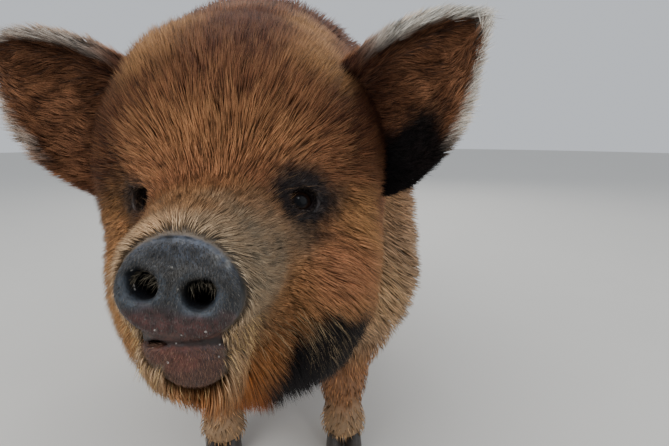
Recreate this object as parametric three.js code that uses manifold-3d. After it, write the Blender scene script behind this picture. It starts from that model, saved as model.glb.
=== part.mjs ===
// A young kunekune pig of about five months, standing still at life size.
// Millimetres, +Z up. The pig faces -Y, its left side is +X, and its hooves stand on Z = 0.
// The body is one smooth form worked out from a few round masses. Rays cast from a spine find its surface.
import * as THREE from "three";
import { mergeVertices } from "three/addons/utils/BufferGeometryUtils.js";
import Module from "manifold-3d";

const wasm = await Module();
wasm.setup();

// Driving dimensions
const gap = 0.3; // left between parts that touch
const placeShift = new THREE.Vector3(8.5, 28, 0); // puts the middle of the whole pig over the origin
const headPlace = new THREE.Vector3(-16, -304, 270); // the middle of the skull
const headLift = THREE.MathUtils.degToRad(10); // the muzzle is raised
const headTurn = THREE.MathUtils.degToRad(6); // and turned to the pig's right
const coatShare = 0.45; // share of the coat's depth that the dense under coat reaches, below the locks
const coat = { body: 16, crown: 14, cheek: 11, muzzle: 4, beard: 15, eye: 0.5, leg: 4 };
const discHalfWidth = 25;
const discHalfHeight = 18.5;
const discMiddle = new THREE.Vector3(1.5, -91, -19); // in the head's own frame, as are the next ones
const discTilt = THREE.MathUtils.degToRad(4);
const discRoll = THREE.MathUtils.degToRad(6); // the disc sits a little askew
const nostrilApart = 23.5;
const nostrilRadius = 5.6;
const eyeRadius = 11;
const eyeMiddle = new THREE.Vector3(35.9, -14.4, 15.4);
const eyeAim = new THREE.Vector3(0.52, -0.84, 0.12).normalize();
const footApart = 122;
const frontFootY = -118;
const hindFootY = 222;
const dewclawY = { front: -97, hind: 246 }; // the back of each pastern

const headToBody = new THREE.Matrix4()
  .makeTranslation(headPlace)
  .multiply(new THREE.Matrix4().makeRotationZ(-headTurn))
  .multiply(new THREE.Matrix4().makeRotationX(-headLift));
const bodyToHead = headToBody.clone().invert();

// Round masses: each gives the distance from a point to its surface, less than zero inside
function ball(x, y, z, rx, ry, rz) {
  return (p) => {
    const q = new THREE.Vector3((p.x - x) / rx, (p.y - y) / ry, (p.z - z) / rz);
    const near = q.length();
    const slope = Math.hypot(q.x / rx, q.y / ry, q.z / rz);
    return slope < 1e-9 ? -Math.min(rx, ry, rz) : (near * (near - 1)) / slope;
  };
}

// A bar with round ends that tapers from radius ra at a to rb at b, and is wide times as broad as it is tall
function bar(a, ra, b, rb, wide = 1) {
  const start = new THREE.Vector3(a[0] / wide, a[1], a[2]);
  const along = new THREE.Vector3(b[0] / wide, b[1], b[2]).sub(start);
  return (p) => {
    const q = new THREE.Vector3(p.x / wide, p.y, p.z).sub(start);
    const t = THREE.MathUtils.clamp(q.dot(along) / along.lengthSq(), 0, 1);
    return q.addScaledVector(along, -t).length() - (ra + (rb - ra) * t);
  };
}

// The same mass on the left and on the right
function pair(mass) {
  return (p) => mass(new THREE.Vector3(Math.abs(p.x), p.y, p.z));
}

// Two distances run into one with a soft fillet of about k
function soft(a, b, k) {
  const h = Math.max(k - Math.abs(a - b), 0) / k;
  return Math.min(a, b) - (h * h * k) / 4;
}

function blend(masses, k) {
  return (p) => masses.map((m) => m(p)).reduce((a, b) => soft(a, b, k));
}

const headMass = blend(
  [
    ball(0, 26, 26, 60, 54, 58), // cranium
    ball(0, 4, 42, 40, 38, 36), // forehead
    pair(ball(25, -8, 32, 17, 22, 17)), // brows
    pair(ball(38, 22, -28, 29, 46, 48)), // cheeks and jowls
    bar([0, -4, -2], 37, [0, -76, -18], 25, 1.06), // muzzle
    bar([0, 14, -48], 32, [0, -60, -45], 14, 1.15), // lower jaw
    ball(1, -78, -49, 15, 10, 8), // lower lip
  ],
  16,
);
const bodyMass = blend(
  [
    ball(-4, -95, 262, 100, 118, 130), // chest
    ball(-4, -140, 160, 72, 56, 62), // brisket
    ball(-4, 62, 220, 128, 165, 112), // belly
    ball(-8, 190, 258, 112, 114, 112), // rump
    bar([-16, -100, 312], 92, [-8, 185, 288], 90, 1.08), // back, from the withers to the loin
    bar([-18, -110, 312], 94, [-16, -232, 296], 74, 1.1), // neck and its crest
    pair(ball(78, -98, 205, 42, 62, 82)), // shoulders
    pair(ball(72, 188, 205, 48, 76, 88)), // thighs
    ball(-10, -212, 236, 66, 62, 54), // throat
  ],
  40,
);

function trunkMass(p) {
  return soft(headMass(p.clone().applyMatrix4(bodyToHead)), bodyMass(p), 36);
}

const half = footApart / 2;
const legMass = {
  front: blend(
    [
      bar([70, -96, 180], 46, [67, -100, 122], 31),
      bar([67, -100, 122], 30, [half, -108, 70], 19.5),
      bar([half, -108, 70], 19, [half, -110, 34], 16),
      ball(half, frontFootY, 26, 19, 20, 15),
    ],
    14,
  ),
  hind: blend(
    [
      bar([74, 190, 180], 56, [70, 226, 116], 32),
      bar([70, 226, 116], 31, [half + 2, 248, 84], 20),
      bar([half + 2, 248, 84], 19.5, [half, 232, 34], 16),
      ball(half, hindFootY, 26, 19, 20, 15),
    ],
    14,
  ),
};

function wholeMass(end) {
  return (p) => {
    const q = new THREE.Vector3(Math.abs(p.x), p.y, p.z);
    return soft(trunkMass(p), legMass[end](q), 26);
  };
}

// How deep the coat is at a point of the body
function coatDepth(p) {
  const q = p.clone().applyMatrix4(bodyToHead);
  const onHead = 1 - THREE.MathUtils.smoothstep(q.y, 20, 80);
  const low = THREE.MathUtils.smoothstep(q.z, -10, 60);
  const head = THREE.MathUtils.lerp(coat.cheek, coat.crown, low);
  const nearNose = 1 - THREE.MathUtils.smoothstep(q.distanceTo(discMiddle), 30, 95);
  const eye = new THREE.Vector3(Math.abs(q.x), q.y, q.z).distanceTo(eyeMiddle);
  const nearEye = 1 - THREE.MathUtils.smoothstep(eye, 12, 42);
  let depth = THREE.MathUtils.lerp(coat.body, head, onHead);
  depth = THREE.MathUtils.lerp(depth, coat.muzzle, nearNose);
  const beard = onHead * (1 - THREE.MathUtils.smoothstep(q.z, -66, -46));
  depth = THREE.MathUtils.lerp(depth, coat.beard, beard);
  depth = THREE.MathUtils.lerp(depth, coat.eye, nearEye);
  const onLeg = 1 - THREE.MathUtils.smoothstep(p.z, 70, 150);
  return THREE.MathUtils.lerp(depth, coat.leg, onLeg);
}

// The distance out from a start point along a ray to where the mass has its coat's surface
function reach(mass, start, way, extra, far) {
  const at = new THREE.Vector3();
  const outside = (d) => {
    at.copy(start).addScaledVector(way, d);
    return mass(at) - coatDepth(at) * coatShare - extra > 0;
  };
  let low = 0;
  let high = 6;
  while (high < far && !outside(high)) {
    low = high;
    high += 6;
  }
  if (high >= far) return far;
  for (let i = 0; i < 14; i++) {
    const middle = (low + high) / 2;
    if (outside(middle)) high = middle;
    else low = middle;
  }
  return (low + high) / 2;
}

// A closed skin over rings of points. The first and the last ring are closed by a point, or by a fan to their middle
function skinned(rings, first, last) {
  const n = rings[0].length;
  const middleOf = (ring) =>
    ring.reduce((sum, p) => sum.add(p), new THREE.Vector3()).divideScalar(n);
  const points = [...rings.flat(), first ?? middleOf(rings[0]), last ?? middleOf(rings.at(-1))];
  const index = [];
  const firstPoint = rings.length * n;
  for (let j = 0; j < n; j++) {
    const k = (j + 1) % n;
    for (let i = 0; i + 1 < rings.length; i++) {
      const [a, b, c, d] = [i * n + j, i * n + k, (i + 1) * n + k, (i + 1) * n + j];
      index.push(a, b, c, a, c, d);
    }
    index.push(firstPoint, k, j);
    index.push(firstPoint + 1, (rings.length - 1) * n + j, (rings.length - 1) * n + k);
  }
  const geometry = new THREE.BufferGeometry().setFromPoints(points);
  geometry.setIndex(index);
  return geometry;
}

function solidOf(geometry) {
  const bare = geometry.clone();
  bare.deleteAttribute("normal");
  bare.deleteAttribute("uv");
  const merged = mergeVertices(bare, 1e-4);
  const made = new wasm.Manifold(
    new wasm.Mesh({
      numProp: 3,
      vertProperties: new Float32Array(merged.attributes.position.array),
      triVerts: new Uint32Array(merged.index.array),
    }),
  );
  if (made.volume() > 0) return made;
  const turned = new Uint32Array(merged.index.array).reverse();
  return new wasm.Manifold(
    new wasm.Mesh({
      numProp: 3,
      vertProperties: new Float32Array(merged.attributes.position.array),
      triVerts: turned,
    }),
  );
}

// The largest closed surface of a solid, which fills sealed hollows and drops loose scraps
function largest(solid) {
  const pieces = solid.decompose();
  return pieces.reduce((a, b) => (b.volume() > a.volume() ? b : a));
}

function geometryOf(solid) {
  const { numProp, numVert, vertProperties, triVerts } = solid.getMesh();
  const points = new Float32Array(numVert * 3);
  for (let i = 0; i < numVert; i++) {
    points.set(vertProperties.subarray(i * numProp, i * numProp + 3), i * 3);
  }
  const geometry = new THREE.BufferGeometry();
  geometry.setAttribute("position", new THREE.BufferAttribute(points, 3));
  geometry.setIndex(new THREE.BufferAttribute(new Uint32Array(triVerts), 1));
  geometry.computeVertexNormals();
  return geometry;
}

// The spine, from inside the muzzle to inside the rump
const fromHead = (x, y, z) => new THREE.Vector3(x, y, z).applyMatrix4(headToBody);
const spine = new THREE.CatmullRomCurve3([
  fromHead(0, -66, -26),
  fromHead(0, -20, -4),
  fromHead(0, 24, 16),
  new THREE.Vector3(-10, -225, 290),
  new THREE.Vector3(0, -130, 282),
  new THREE.Vector3(0, 0, 262),
  new THREE.Vector3(0, 100, 254),
  new THREE.Vector3(0, 205, 256),
]);
const ringSides = 30;

// One ring of rays from a spine point, leaning forwards or back by lean from square to the spine
function ringAt(place, tangent, lean, mass, extra, far, sides = ringSides) {
  const side = new THREE.Vector3(0, 0, 1).cross(tangent).normalize();
  const up = tangent.clone().cross(side);
  const points = [];
  for (let j = 0; j < sides; j++) {
    const turn = (j / sides) * 2 * Math.PI;
    const way = side
      .clone()
      .multiplyScalar(Math.cos(turn))
      .addScaledVector(up, Math.sin(turn))
      .multiplyScalar(Math.cos(lean))
      .addScaledVector(tangent, Math.sin(lean));
    points.push(place.clone().addScaledVector(way, reach(mass, place, way, extra, far)));
  }
  return points;
}

// Where the trunk is parted, as shares of the spine's length
const neckFront = 0.215;
const neckBack = 0.315;
const trunkParts = {
  head: { from: 0, to: neckFront, rings: 15 },
  neck: { from: neckFront, to: neckBack, rings: 4 },
  torso: { from: neckBack, to: 1, rings: 12 },
};
const leans = [0.3, 0.62, 0.92, 1.2, 1.42];

// A part of the trunk between two shares of the spine, grown by extra
function trunkPart({ from, to, rings }, extra = 0) {
  const ringList = [];
  const cast = (place, tangent, lean) => ringAt(place, tangent, lean, trunkMass, extra, 260);
  const pole = (share, way) => {
    const place = spine.getPointAt(share);
    return place.clone().addScaledVector(way, reach(trunkMass, place, way, extra, 260));
  };
  let first;
  let last;
  if (from === 0) {
    const tangent = spine.getTangentAt(0);
    first = pole(0, tangent.clone().negate());
    [...leans].reverse().forEach((lean) => ringList.push(cast(spine.getPointAt(0), tangent, -lean)));
  }
  for (let i = 0; i <= rings; i++) {
    const share = from + ((to - from) * i) / rings;
    const tangent = spine.getTangentAt(share);
    const place = spine.getPointAt(share);
    if (i === 0 && from > 0) place.addScaledVector(tangent, gap / 2);
    if (i === rings && to < 1) place.addScaledVector(tangent, -gap / 2);
    const lean = from === 0 ? -0.35 * Math.sin(Math.PI * Math.min((1.25 * i) / rings, 1)) : 0;
    ringList.push(cast(place, tangent, lean));
  }
  if (to === 1) {
    const tangent = spine.getTangentAt(1);
    last = pole(1, tangent);
    leans.forEach((lean) => ringList.push(cast(spine.getPointAt(1), tangent, lean)));
  }
  return solidOf(skinned(ringList, first, last));
}

// Legs: rings of rays from each leg's own line, down to the foot
const legLines = {
  front: [
    [70, -96, 190],
    [68, -99, 130],
    [half, -108, 72],
    [half, -111, 44],
    [half, -115, 24],
  ],
  hind: [
    [73, 196, 190],
    [70, 222, 126],
    [half + 2, 246, 84],
    [half, 234, 50],
    [half, 225, 24],
  ],
};
const legSides = 12;
const legRings = 11;
const hoofTop = { front: 22, back: 15 }; // height of the coronet at the toe and at the heel

function legSolid(end, side) {
  const line = new THREE.CatmullRomCurve3(
    legLines[end].map(([x, y, z]) => new THREE.Vector3(x * side, y, z)),
  );
  const ringList = [];
  const mass = wholeMass(end);
  for (let i = 0; i <= legRings; i++) {
    const place = line.getPointAt(i / legRings);
    const far = THREE.MathUtils.mapLinear(place.z, 24, 190, 40, 78);
    const sink = 16 * THREE.MathUtils.smoothstep(place.z, 120, 190); // dives into the body
    ringList.push(legRing(place, mass, far, sink));
  }
  return solidOf(skinned(ringList));
}

// A level ring round a leg
function legRing(place, mass, far, sink) {
  const points = [];
  for (let j = 0; j < legSides; j++) {
    const turn = (j / legSides) * 2 * Math.PI;
    const way = new THREE.Vector3(Math.cos(turn), Math.sin(turn), 0);
    points.push(place.clone().addScaledVector(way, reach(mass, place, way, 0, far) - sink));
  }
  return points;
}

// The plane that parts the foot from its hooves, sloping down to the heel
function coronet(footY, drop) {
  const slope = (hoofTop.front - hoofTop.back) / 44;
  const normal = new THREE.Vector3(0, slope, 1).normalize();
  const middle = (hoofTop.front + hoofTop.back) / 2;
  const point = new THREE.Vector3(0, footY, middle - drop);
  return { normal, offset: normal.dot(point) };
}

// One horny toe: an outline that is flat below, rounded in front and smaller at the top
const toe = { halfWidth: 8.6, front: 19, back: 17, topShare: 0.74 };
const toeSides = 10;

function toeSolid(footX, footY, side, inner) {
  const splay = THREE.MathUtils.degToRad(5) * side * (inner ? -1 : 1);
  const middleX = footX + side * (inner ? -1 : 1) * (toe.halfWidth + 0.9);
  const rings = [
    { z: 0, share: 0.93 },
    { z: 2, share: 1 },
    { z: 14, share: 0.88 },
    { z: 26, share: toe.topShare },
  ].map(({ z, share }) => {
    const points = [];
    for (let j = 0; j < toeSides; j++) {
      const turn = (j / toeSides) * 2 * Math.PI;
      const y = Math.sin(turn);
      const x = toe.halfWidth * share * Math.cos(turn) * (1 - 0.22 * Math.max(-y, 0) ** 2);
      const lean = z * 0.42; // the front wall slopes back as it rises
      const length = y < 0 ? toe.front * share - lean * 0.55 : toe.back * share;
      const spot = new THREE.Vector3(x, y * length, 0);
      spot.applyAxisAngle(new THREE.Vector3(0, 0, 1), splay);
      points.push(spot.add(new THREE.Vector3(middleX, footY - 4, z)));
    }
    return points;
  });
  const { normal, offset } = coronet(footY, gap);
  const cut = solidOf(skinned(rings)).trimByPlane([-normal.x, -normal.y, -normal.z], -offset);
  return largest(cut);
}

// A dewclaw: a small blunt horn behind the pastern
function dewclawSolid(footX, backY, side, inner) {
  const x = footX + side * (inner ? -1 : 1) * 9;
  const line = new THREE.LineCurve3(
    new THREE.Vector3(x, backY - 4, 38),
    new THREE.Vector3(x * 1.01, backY + 13, 24),
  );
  const rings = [
    [0, 5.6],
    [0.6, 4.9],
    [1, 2.2],
  ].map(([t, radius]) => {
    const place = line.getPointAt(t);
    const points = [];
    for (let j = 0; j < 7; j++) {
      const turn = (j / 7) * 2 * Math.PI;
      const tall = Math.sin(turn) * 0.7 * radius;
      points.push(place.clone().add(new THREE.Vector3(Math.cos(turn) * radius, tall, tall)));
    }
    return points;
  });
  return solidOf(skinned(rings));
}

// The snout disc: rounded rim, a shallow notch below, slightly domed, with two nostrils
function discOutline(turn) {
  const across = discHalfWidth * Math.cos(turn);
  const up = Math.sin(turn);
  const notch = up < 0 ? 2.2 * Math.exp(-((across / 4.5) ** 2)) : 0;
  const height = discHalfHeight * up * (up > 0 ? 1.04 : 0.98) + notch;
  return [across * (up < 0 ? 1 - 0.05 * up * up : 1), height];
}

const discFrame = new THREE.Matrix4()
  .makeTranslation(discMiddle)
  .multiply(new THREE.Matrix4().makeRotationX(-discTilt))
  .multiply(new THREE.Matrix4().makeRotationY(discRoll));

function discSolid() {
  const sides = 26;
  const profile = [
    [0.86, 12],
    [0.97, 7],
    [1, 3],
    [0.98, 0],
    [0.93, -2.4],
    [0.82, -3.6],
    [0.6, -3.4],
    [0.3, -3.9],
  ];
  const rings = profile.map(([share, back]) =>
    Array.from({ length: sides }, (_, j) => {
      const [x, z] = discOutline((j / sides) * 2 * Math.PI);
      return new THREE.Vector3(x * share, back, z * share);
    }),
  );
  const face = new THREE.Vector3(0, -4.1, 0);
  let disc = solidOf(skinned(rings, undefined, face).applyMatrix4(discFrame).applyMatrix4(headToBody));
  for (const side of [-1, 1]) {
    disc = disc.subtract(nostrilSolid(side));
  }
  return disc;
}

// The space of a nostril: an oval that narrows as it goes in, with its top outer corner drawn out
function nostrilSolid(side) {
  const sides = 14;
  const rings = [
    [-9, 1.12],
    [-3.5, 1.06],
    [0, 0.96],
    [5, 0.8],
    [9.5, 0.55],
  ].map(([back, share]) =>
    Array.from({ length: sides }, (_, j) => {
      const turn = (j / sides) * 2 * Math.PI;
      const drawn = 1 + 0.28 * Math.max(Math.cos(turn - 0.8), 0) ** 3;
      const x = Math.cos(turn) * nostrilRadius * drawn * share + nostrilApart / 2 - back * 0.12;
      const z = Math.sin(turn) * nostrilRadius * 0.92 * drawn * share + 0.6;
      return new THREE.Vector3(x * side, back, z);
    }),
  );
  return solidOf(skinned(rings).applyMatrix4(discFrame).applyMatrix4(headToBody));
}

// Eyes and lids, in a frame at the eye's middle whose Z runs out of the head
function eyeFrame(side) {
  const out = eyeAim.clone();
  out.x *= side;
  const up = new THREE.Vector3(0, 0, 1);
  const across = up.clone().cross(out).normalize();
  const basis = new THREE.Matrix4().makeBasis(across, out.clone().cross(across), out);
  const middle = eyeMiddle.clone();
  middle.x *= side;
  return headToBody.clone().multiply(new THREE.Matrix4().makeTranslation(middle)).multiply(basis);
}

function eyeballSolid(side, extra = 0) {
  return solidOf(new THREE.SphereGeometry(eyeRadius + extra, 14, 10).applyMatrix4(eyeFrame(side)));
}

function lidSolid(side) {
  const sides = 14;
  const sections = 6;
  const points = [];
  const index = [];
  for (let i = 0; i < sides; i++) {
    const turn = (i / sides) * 2 * Math.PI;
    const thick = Math.sin(turn) > 0 ? 3.6 : 2.8;
    const middle = new THREE.Vector3(9.4 * Math.cos(turn), 7.6 * Math.sin(turn), 7.6);
    const out = new THREE.Vector3(Math.cos(turn), Math.sin(turn), 0);
    for (let j = 0; j < sections; j++) {
      const round = (j / sections) * 2 * Math.PI;
      const spot = middle.clone().addScaledVector(out, Math.cos(round) * thick);
      points.push(spot.setZ(spot.z + Math.sin(round) * thick * 0.9 - Math.cos(round) * 1.6));
      const [k, l] = [(i + 1) % sides, (j + 1) % sections];
      const [a, b, c, d] = [i * sections + j, k * sections + j, k * sections + l, i * sections + l];
      index.push(a, b, c, a, c, d);
    }
  }
  const geometry = new THREE.BufferGeometry().setFromPoints(points);
  geometry.setIndex(index);
  return solidOf(geometry.applyMatrix4(eyeFrame(side)));
}

// The space in front of an eye, which widens from the opening between the lids
function openingSolid(side) {
  const sides = 14;
  const rings = [
    [4, 4.5, 3.6],
    [10, 6.6, 5.2],
    [30, 15, 13],
  ].map(([z, across, up]) =>
    Array.from({ length: sides }, (_, j) => {
      const turn = (j / sides) * 2 * Math.PI;
      return new THREE.Vector3(across * Math.cos(turn), up * Math.sin(turn), z);
    }),
  );
  return solidOf(skinned(rings).applyMatrix4(eyeFrame(side)));
}

// The line of the mouth: a thin curved wedge from one corner round under the disc to the other
const mouthLine = new THREE.CatmullRomCurve3(
  [
    [-44, -30, -48],
    [-33, -56, -46],
    [-20, -78, -42],
    [0, -86, -40],
    [20, -78, -42],
    [33, -56, -46],
    [44, -30, -48],
  ].map(([x, y, z]) => new THREE.Vector3(x, y, z)),
);

function mouthSolid() {
  const line = mouthLine;
  const rings = [];
  for (let i = 0; i <= 10; i++) {
    const t = i / 10;
    const place = line.getPointAt(t);
    const out = new THREE.Vector3(place.x * 0.9, place.y + 30, 0).normalize();
    const open = 0.5 + 0.9 * Math.sin(Math.PI * t);
    const spot = (d, z) => place.clone().addScaledVector(out, d).add(new THREE.Vector3(0, 0, z));
    rings.push([spot(-9, -0.3), spot(22, -open * 1.6), spot(22, open * 1.6), spot(-9, 0.3)]);
  }
  return solidOf(skinned(rings).applyMatrix4(headToBody));
}

// Ears: a sheet that spans three curves from the base to the tip, with its hollow facing forwards
const earEdge = {
  top: [[44, 26, 78], [92, 14, 130], [134, 2, 114]],
  middle: [[58, 56, 52], [100, 46, 84], [135, 4, 113]],
  low: [[66, 38, 20], [122, 22, 14], [134, 3, 112]],
};

function earPoint(u, v) {
  const at = (edge) => {
    const [a, b, c] = earEdge[edge];
    const mix = (i) => a[i] * (1 - u) ** 2 + 2 * b[i] * u * (1 - u) + c[i] * u * u;
    return new THREE.Vector3(mix(0), mix(1), mix(2));
  };
  return at("top")
    .multiplyScalar((v * (v - 1)) / 2)
    .addScaledVector(at("middle"), 1 - v * v)
    .addScaledVector(at("low"), (v * (v + 1)) / 2);
}

const earDrop = { left: 0, right: THREE.MathUtils.degToRad(9) }; // the right ear hangs lower
const earRoot = new THREE.Vector3(58, 35, 50);

// Turns a point of the left ear to where it hangs, on the side that is asked for
function setEar(p, side) {
  const drop = side > 0 ? earDrop.left : earDrop.right;
  p.sub(earRoot).applyAxisAngle(new THREE.Vector3(0, 1, 0), drop).add(earRoot);
  p.x *= side;
  return p;
}

const earSpot = (u, v, side) => setEar(earPoint(u, v), side);

function earSolid(side, extra = 0) {
  const along = 9;
  const over = 8;
  const step = 0.01;
  const rings = [];
  for (let i = 0; i <= along; i++) {
    const u = -0.12 + (1.1 * i) / along;
    const front = [];
    const back = [];
    for (let j = 0; j <= over; j++) {
      const v = -1 + (2 * j) / over;
      const place = earPoint(u, v);
      const alongWay = earPoint(u + step, v).sub(earPoint(u - step, v));
      const overWay = earPoint(u, v + step).sub(earPoint(u, v - step));
      const out = alongWay.cross(overWay).normalize();
      const rim = 1 - Math.abs(v) ** 4;
      const thick = (0.9 + 2.6 * rim * (1 - 0.55 * Math.max(u, 0))) * 1.25 + extra;
      front.push(place.clone().addScaledVector(out, thick));
      back.push(place.clone().addScaledVector(out, -thick));
    }
    rings.push([...front, ...back.reverse()]);
  }
  rings.flat().forEach((p) => setEar(p, side));
  return solidOf(skinned(rings).applyMatrix4(headToBody));
}

// The tail: it hangs from the rump with one easy bend and a tassel
const tailLine = new THREE.CatmullRomCurve3(
  [
    [0, 286, 318],
    [0, 314, 318],
    [3, 336, 300],
    [12, 344, 268],
    [22, 341, 236],
    [20, 337, 208],
    [10, 338, 184],
  ].map(([x, y, z]) => new THREE.Vector3(x, y, z)),
);

function tailSolid(extra = 0) {
  const rings = [];
  for (let i = 0; i <= 18; i++) {
    const t = i / 18;
    const place = tailLine.getPointAt(t);
    const tangent = tailLine.getTangentAt(t);
    const side = tangent.clone().cross(new THREE.Vector3(0, 1, 0.2)).normalize();
    const up = side.clone().cross(tangent);
    const tassel = 5 * Math.exp(-(((t - 0.88) / 0.12) ** 2));
    const radius = (12 * (1 - t) + 4.2 * t + tassel) * (t > 0.97 ? 0.4 : 1) + extra;
    const points = [];
    for (let j = 0; j < 12; j++) {
      const turn = (j / 12) * 2 * Math.PI;
      const way = side.clone().multiplyScalar(Math.cos(turn)).addScaledVector(up, Math.sin(turn));
      points.push(place.clone().addScaledVector(way, radius));
    }
    rings.push(points);
  }
  return solidOf(skinned(rings));
}

// Locks of hair: flat blades rooted in the under coat, which rise to the coat's full depth at their tips
const lockSizes = {
  back: { length: 90, width: 44, thick: 7 },
  crown: { length: 33, width: 23, thick: 5 },
  face: { length: 27, width: 14, thick: 4 },
  beard: { length: 24, width: 15, thick: 4 },
  leg: { length: 36, width: 20, thick: 4 },
  fringe: { length: 19, width: 9, thick: 2.6 },
  tassel: { length: 34, width: 8, thick: 4 },
};
const lockSteps = [
  { along: 0, rise: 0.1, broad: 0.7 },
  { along: 0.36, rise: 0.62, broad: 1 },
  { along: 0.72, rise: 0.86, broad: 0.72 },
];
const lockTip = 1.04;

let seed = 20411;
function random() {
  seed = (seed * 16807) % 2147483647;
  return seed / 2147483647;
}

// The direction out of a mass at a point
function outward(mass, p) {
  const step = 0.8;
  const at = (x, y, z) => mass(new THREE.Vector3(p.x + x, p.y + y, p.z + z));
  return new THREE.Vector3(
    at(step, 0, 0) - at(-step, 0, 0),
    at(0, step, 0) - at(0, -step, 0),
    at(0, 0, step) - at(0, 0, -step),
  ).normalize();
}

// Which way the hair lies: away from the disc on the head, back and down on the body, down on the legs
function lieAt(p, normal) {
  const q = p.clone().applyMatrix4(bodyToHead);
  const face = new THREE.Vector3(q.x, q.y + 84, q.z + 12).normalize();
  face.transformDirection(headToBody);
  const flank = 1 - Math.abs(normal.z);
  const body = new THREE.Vector3(0, 1, -0.45 * flank).normalize();
  const lie = face.lerp(body, THREE.MathUtils.smoothstep(q.y, 20, 90));
  const down = new THREE.Vector3(0, 0.25, -1).normalize();
  lie.lerp(down, 1 - THREE.MathUtils.smoothstep(p.z, 90, 160));
  return lie.addScaledVector(normal, -lie.dot(normal)).normalize();
}

// One lock from its root on the skin. Gives null where the spot is taken by something else
function lockSolid(root, size, mass, free) {
  const at = root.clone();
  const bend = (random() - 0.5) * 0.5;
  const length = size.length * (0.85 + 0.3 * random());
  const width = size.width * (0.85 + 0.3 * random());
  const rings = [];
  let done = 0;
  let middle;
  const moveTo = (along, rise) => {
    const normal = outward(mass, at);
    const lie = lieAt(at, normal).applyAxisAngle(normal, bend * (0.4 + along));
    at.addScaledVector(lie, (along - done) * length);
    const settled = outward(mass, at);
    at.addScaledVector(settled, -mass(at));
    done = along;
    middle = at.clone().addScaledVector(settled, coatDepth(at) * rise);
    return { settled, across: settled.clone().cross(lie).normalize() };
  };
  for (const { along, rise, broad } of lockSteps) {
    const { settled, across } = moveTo(along, rise);
    if (!free(middle)) return null;
    const side = (width * broad) / 2;
    const depth = (size.thick * broad) / 2;
    rings.push([
      middle.clone().addScaledVector(across, side),
      middle.clone().addScaledVector(settled, depth),
      middle.clone().addScaledVector(across, -side),
      middle.clone().addScaledVector(settled, -depth),
    ]);
  }
  moveTo(1, lockTip);
  if (!free(middle)) return null;
  return solidOf(skinned(rings, undefined, middle));
}

// A straight lock for an ear's rim or the tail's tip: it starts inside and tapers to a point
function spikeSolid(root, way, flat, { length, width, thick }) {
  const across = way.clone().cross(flat).normalize();
  const facing = across.clone().cross(way).normalize();
  const rings = [0, 0.55].map((along) => {
    const middle = root.clone().addScaledVector(way, along * length);
    const share = 1 - 0.35 * along;
    return [
      middle.clone().addScaledVector(across, (width * share) / 2),
      middle.clone().addScaledVector(facing, (thick * share) / 2),
      middle.clone().addScaledVector(across, (-width * share) / 2),
      middle.clone().addScaledVector(facing, (-thick * share) / 2),
    ];
  });
  return solidOf(skinned(rings, undefined, root.clone().addScaledVector(way, length)));
}

// The fringe along an ear's edges, pointing out and towards the tip
function fringeLocks(side) {
  const locks = [];
  for (const edge of [-1, 1]) {
    for (const u of edge < 0 ? [0.4, 0.62, 0.82] : [0.62, 0.84]) {
      const root = earSpot(u, edge * 0.9, side).applyMatrix4(headToBody);
      const outer = earSpot(u, edge, side).applyMatrix4(headToBody);
      const ahead = earSpot(u + 0.05, edge * 0.9, side).applyMatrix4(headToBody);
      const out = outer.sub(root).normalize();
      const along = ahead.sub(root).normalize();
      const way = out.clone().addScaledVector(along, 1.3).normalize();
      const flat = out.clone().cross(along).normalize();
      locks.push(spikeSolid(root, way, flat, lockSizes.fringe));
    }
  }
  return locks;
}

function tasselLocks() {
  const locks = [];
  for (let i = 0; i < 5; i++) {
    const turn = (i / 5) * 2 * Math.PI;
    const out = new THREE.Vector3(Math.cos(turn), Math.sin(turn), 0);
    const root = tailLine.getPointAt(0.84).addScaledVector(out, 3);
    const way = out.clone().multiplyScalar(0.25).add(new THREE.Vector3(-0.2, 0, -1)).normalize();
    locks.push(spikeSolid(root, way, out, lockSizes.tassel));
  }
  return locks;
}

// Locks round the upper part of a leg, hanging down
function legLocks(end, side) {
  const locks = [];
  const mass = wholeMass(end);
  const free = (p) => p.z > 46 && p.z < 128 && trunkMass(p) > coatDepth(p) + 9;
  const line = new THREE.CatmullRomCurve3(
    legLines[end].map(([x, y, z]) => new THREE.Vector3(x * side, y, z)),
  );
  const place = line.getPointAt(end === "front" ? 0.52 : 0.5);
  for (let j = 0; j < 6; j++) {
    const turn = (j / 6) * 2 * Math.PI;
    const way = new THREE.Vector3(Math.cos(turn), Math.sin(turn), 0);
    const root = place.clone().addScaledVector(way, reach(mass, place, way, -coatDepth(place), 90));
    const lock = lockSolid(root, lockSizes.leg, mass, free);
    if (lock) locks.push(lock);
  }
  return locks;
}

// Rows of locks over a stretch of the spine, each row set half a place on from the last
function locksOver({ from, to, rows, across, size, low = -1, high = 1 }, free) {
  const locks = [];
  for (let i = 0; i < rows; i++) {
    for (let j = 0; j < across; j++) {
      const share = from + ((to - from) * (i + 0.5 + (random() - 0.5) * 0.5)) / rows;
      const turn = ((j + (i % 2) / 2 + (random() - 0.5) * 0.4) / across) * 2 * Math.PI;
      if (Math.sin(turn) < low || Math.sin(turn) > high) continue;
      const tangent = spine.getTangentAt(share);
      const side = new THREE.Vector3(0, 0, 1).cross(tangent).normalize();
      const up = tangent.clone().cross(side);
      const way = side.multiplyScalar(Math.cos(turn)).addScaledVector(up, Math.sin(turn));
      const place = spine.getPointAt(share);
      const root = place.clone().addScaledVector(way, skinReach(place, way));
      const lock = lockSolid(root, lockSizes[size], trunkMass, free);
      if (lock) locks.push(lock);
    }
  }
  return locks;
}

// The distance out from a spine point to the bare skin
function skinReach(place, way) {
  let low = 0;
  let high = 260;
  for (let i = 0; i < 20; i++) {
    const middle = (low + high) / 2;
    if (trunkMass(place.clone().addScaledVector(way, middle)) > 0) high = middle;
    else low = middle;
  }
  return low;
}

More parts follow.
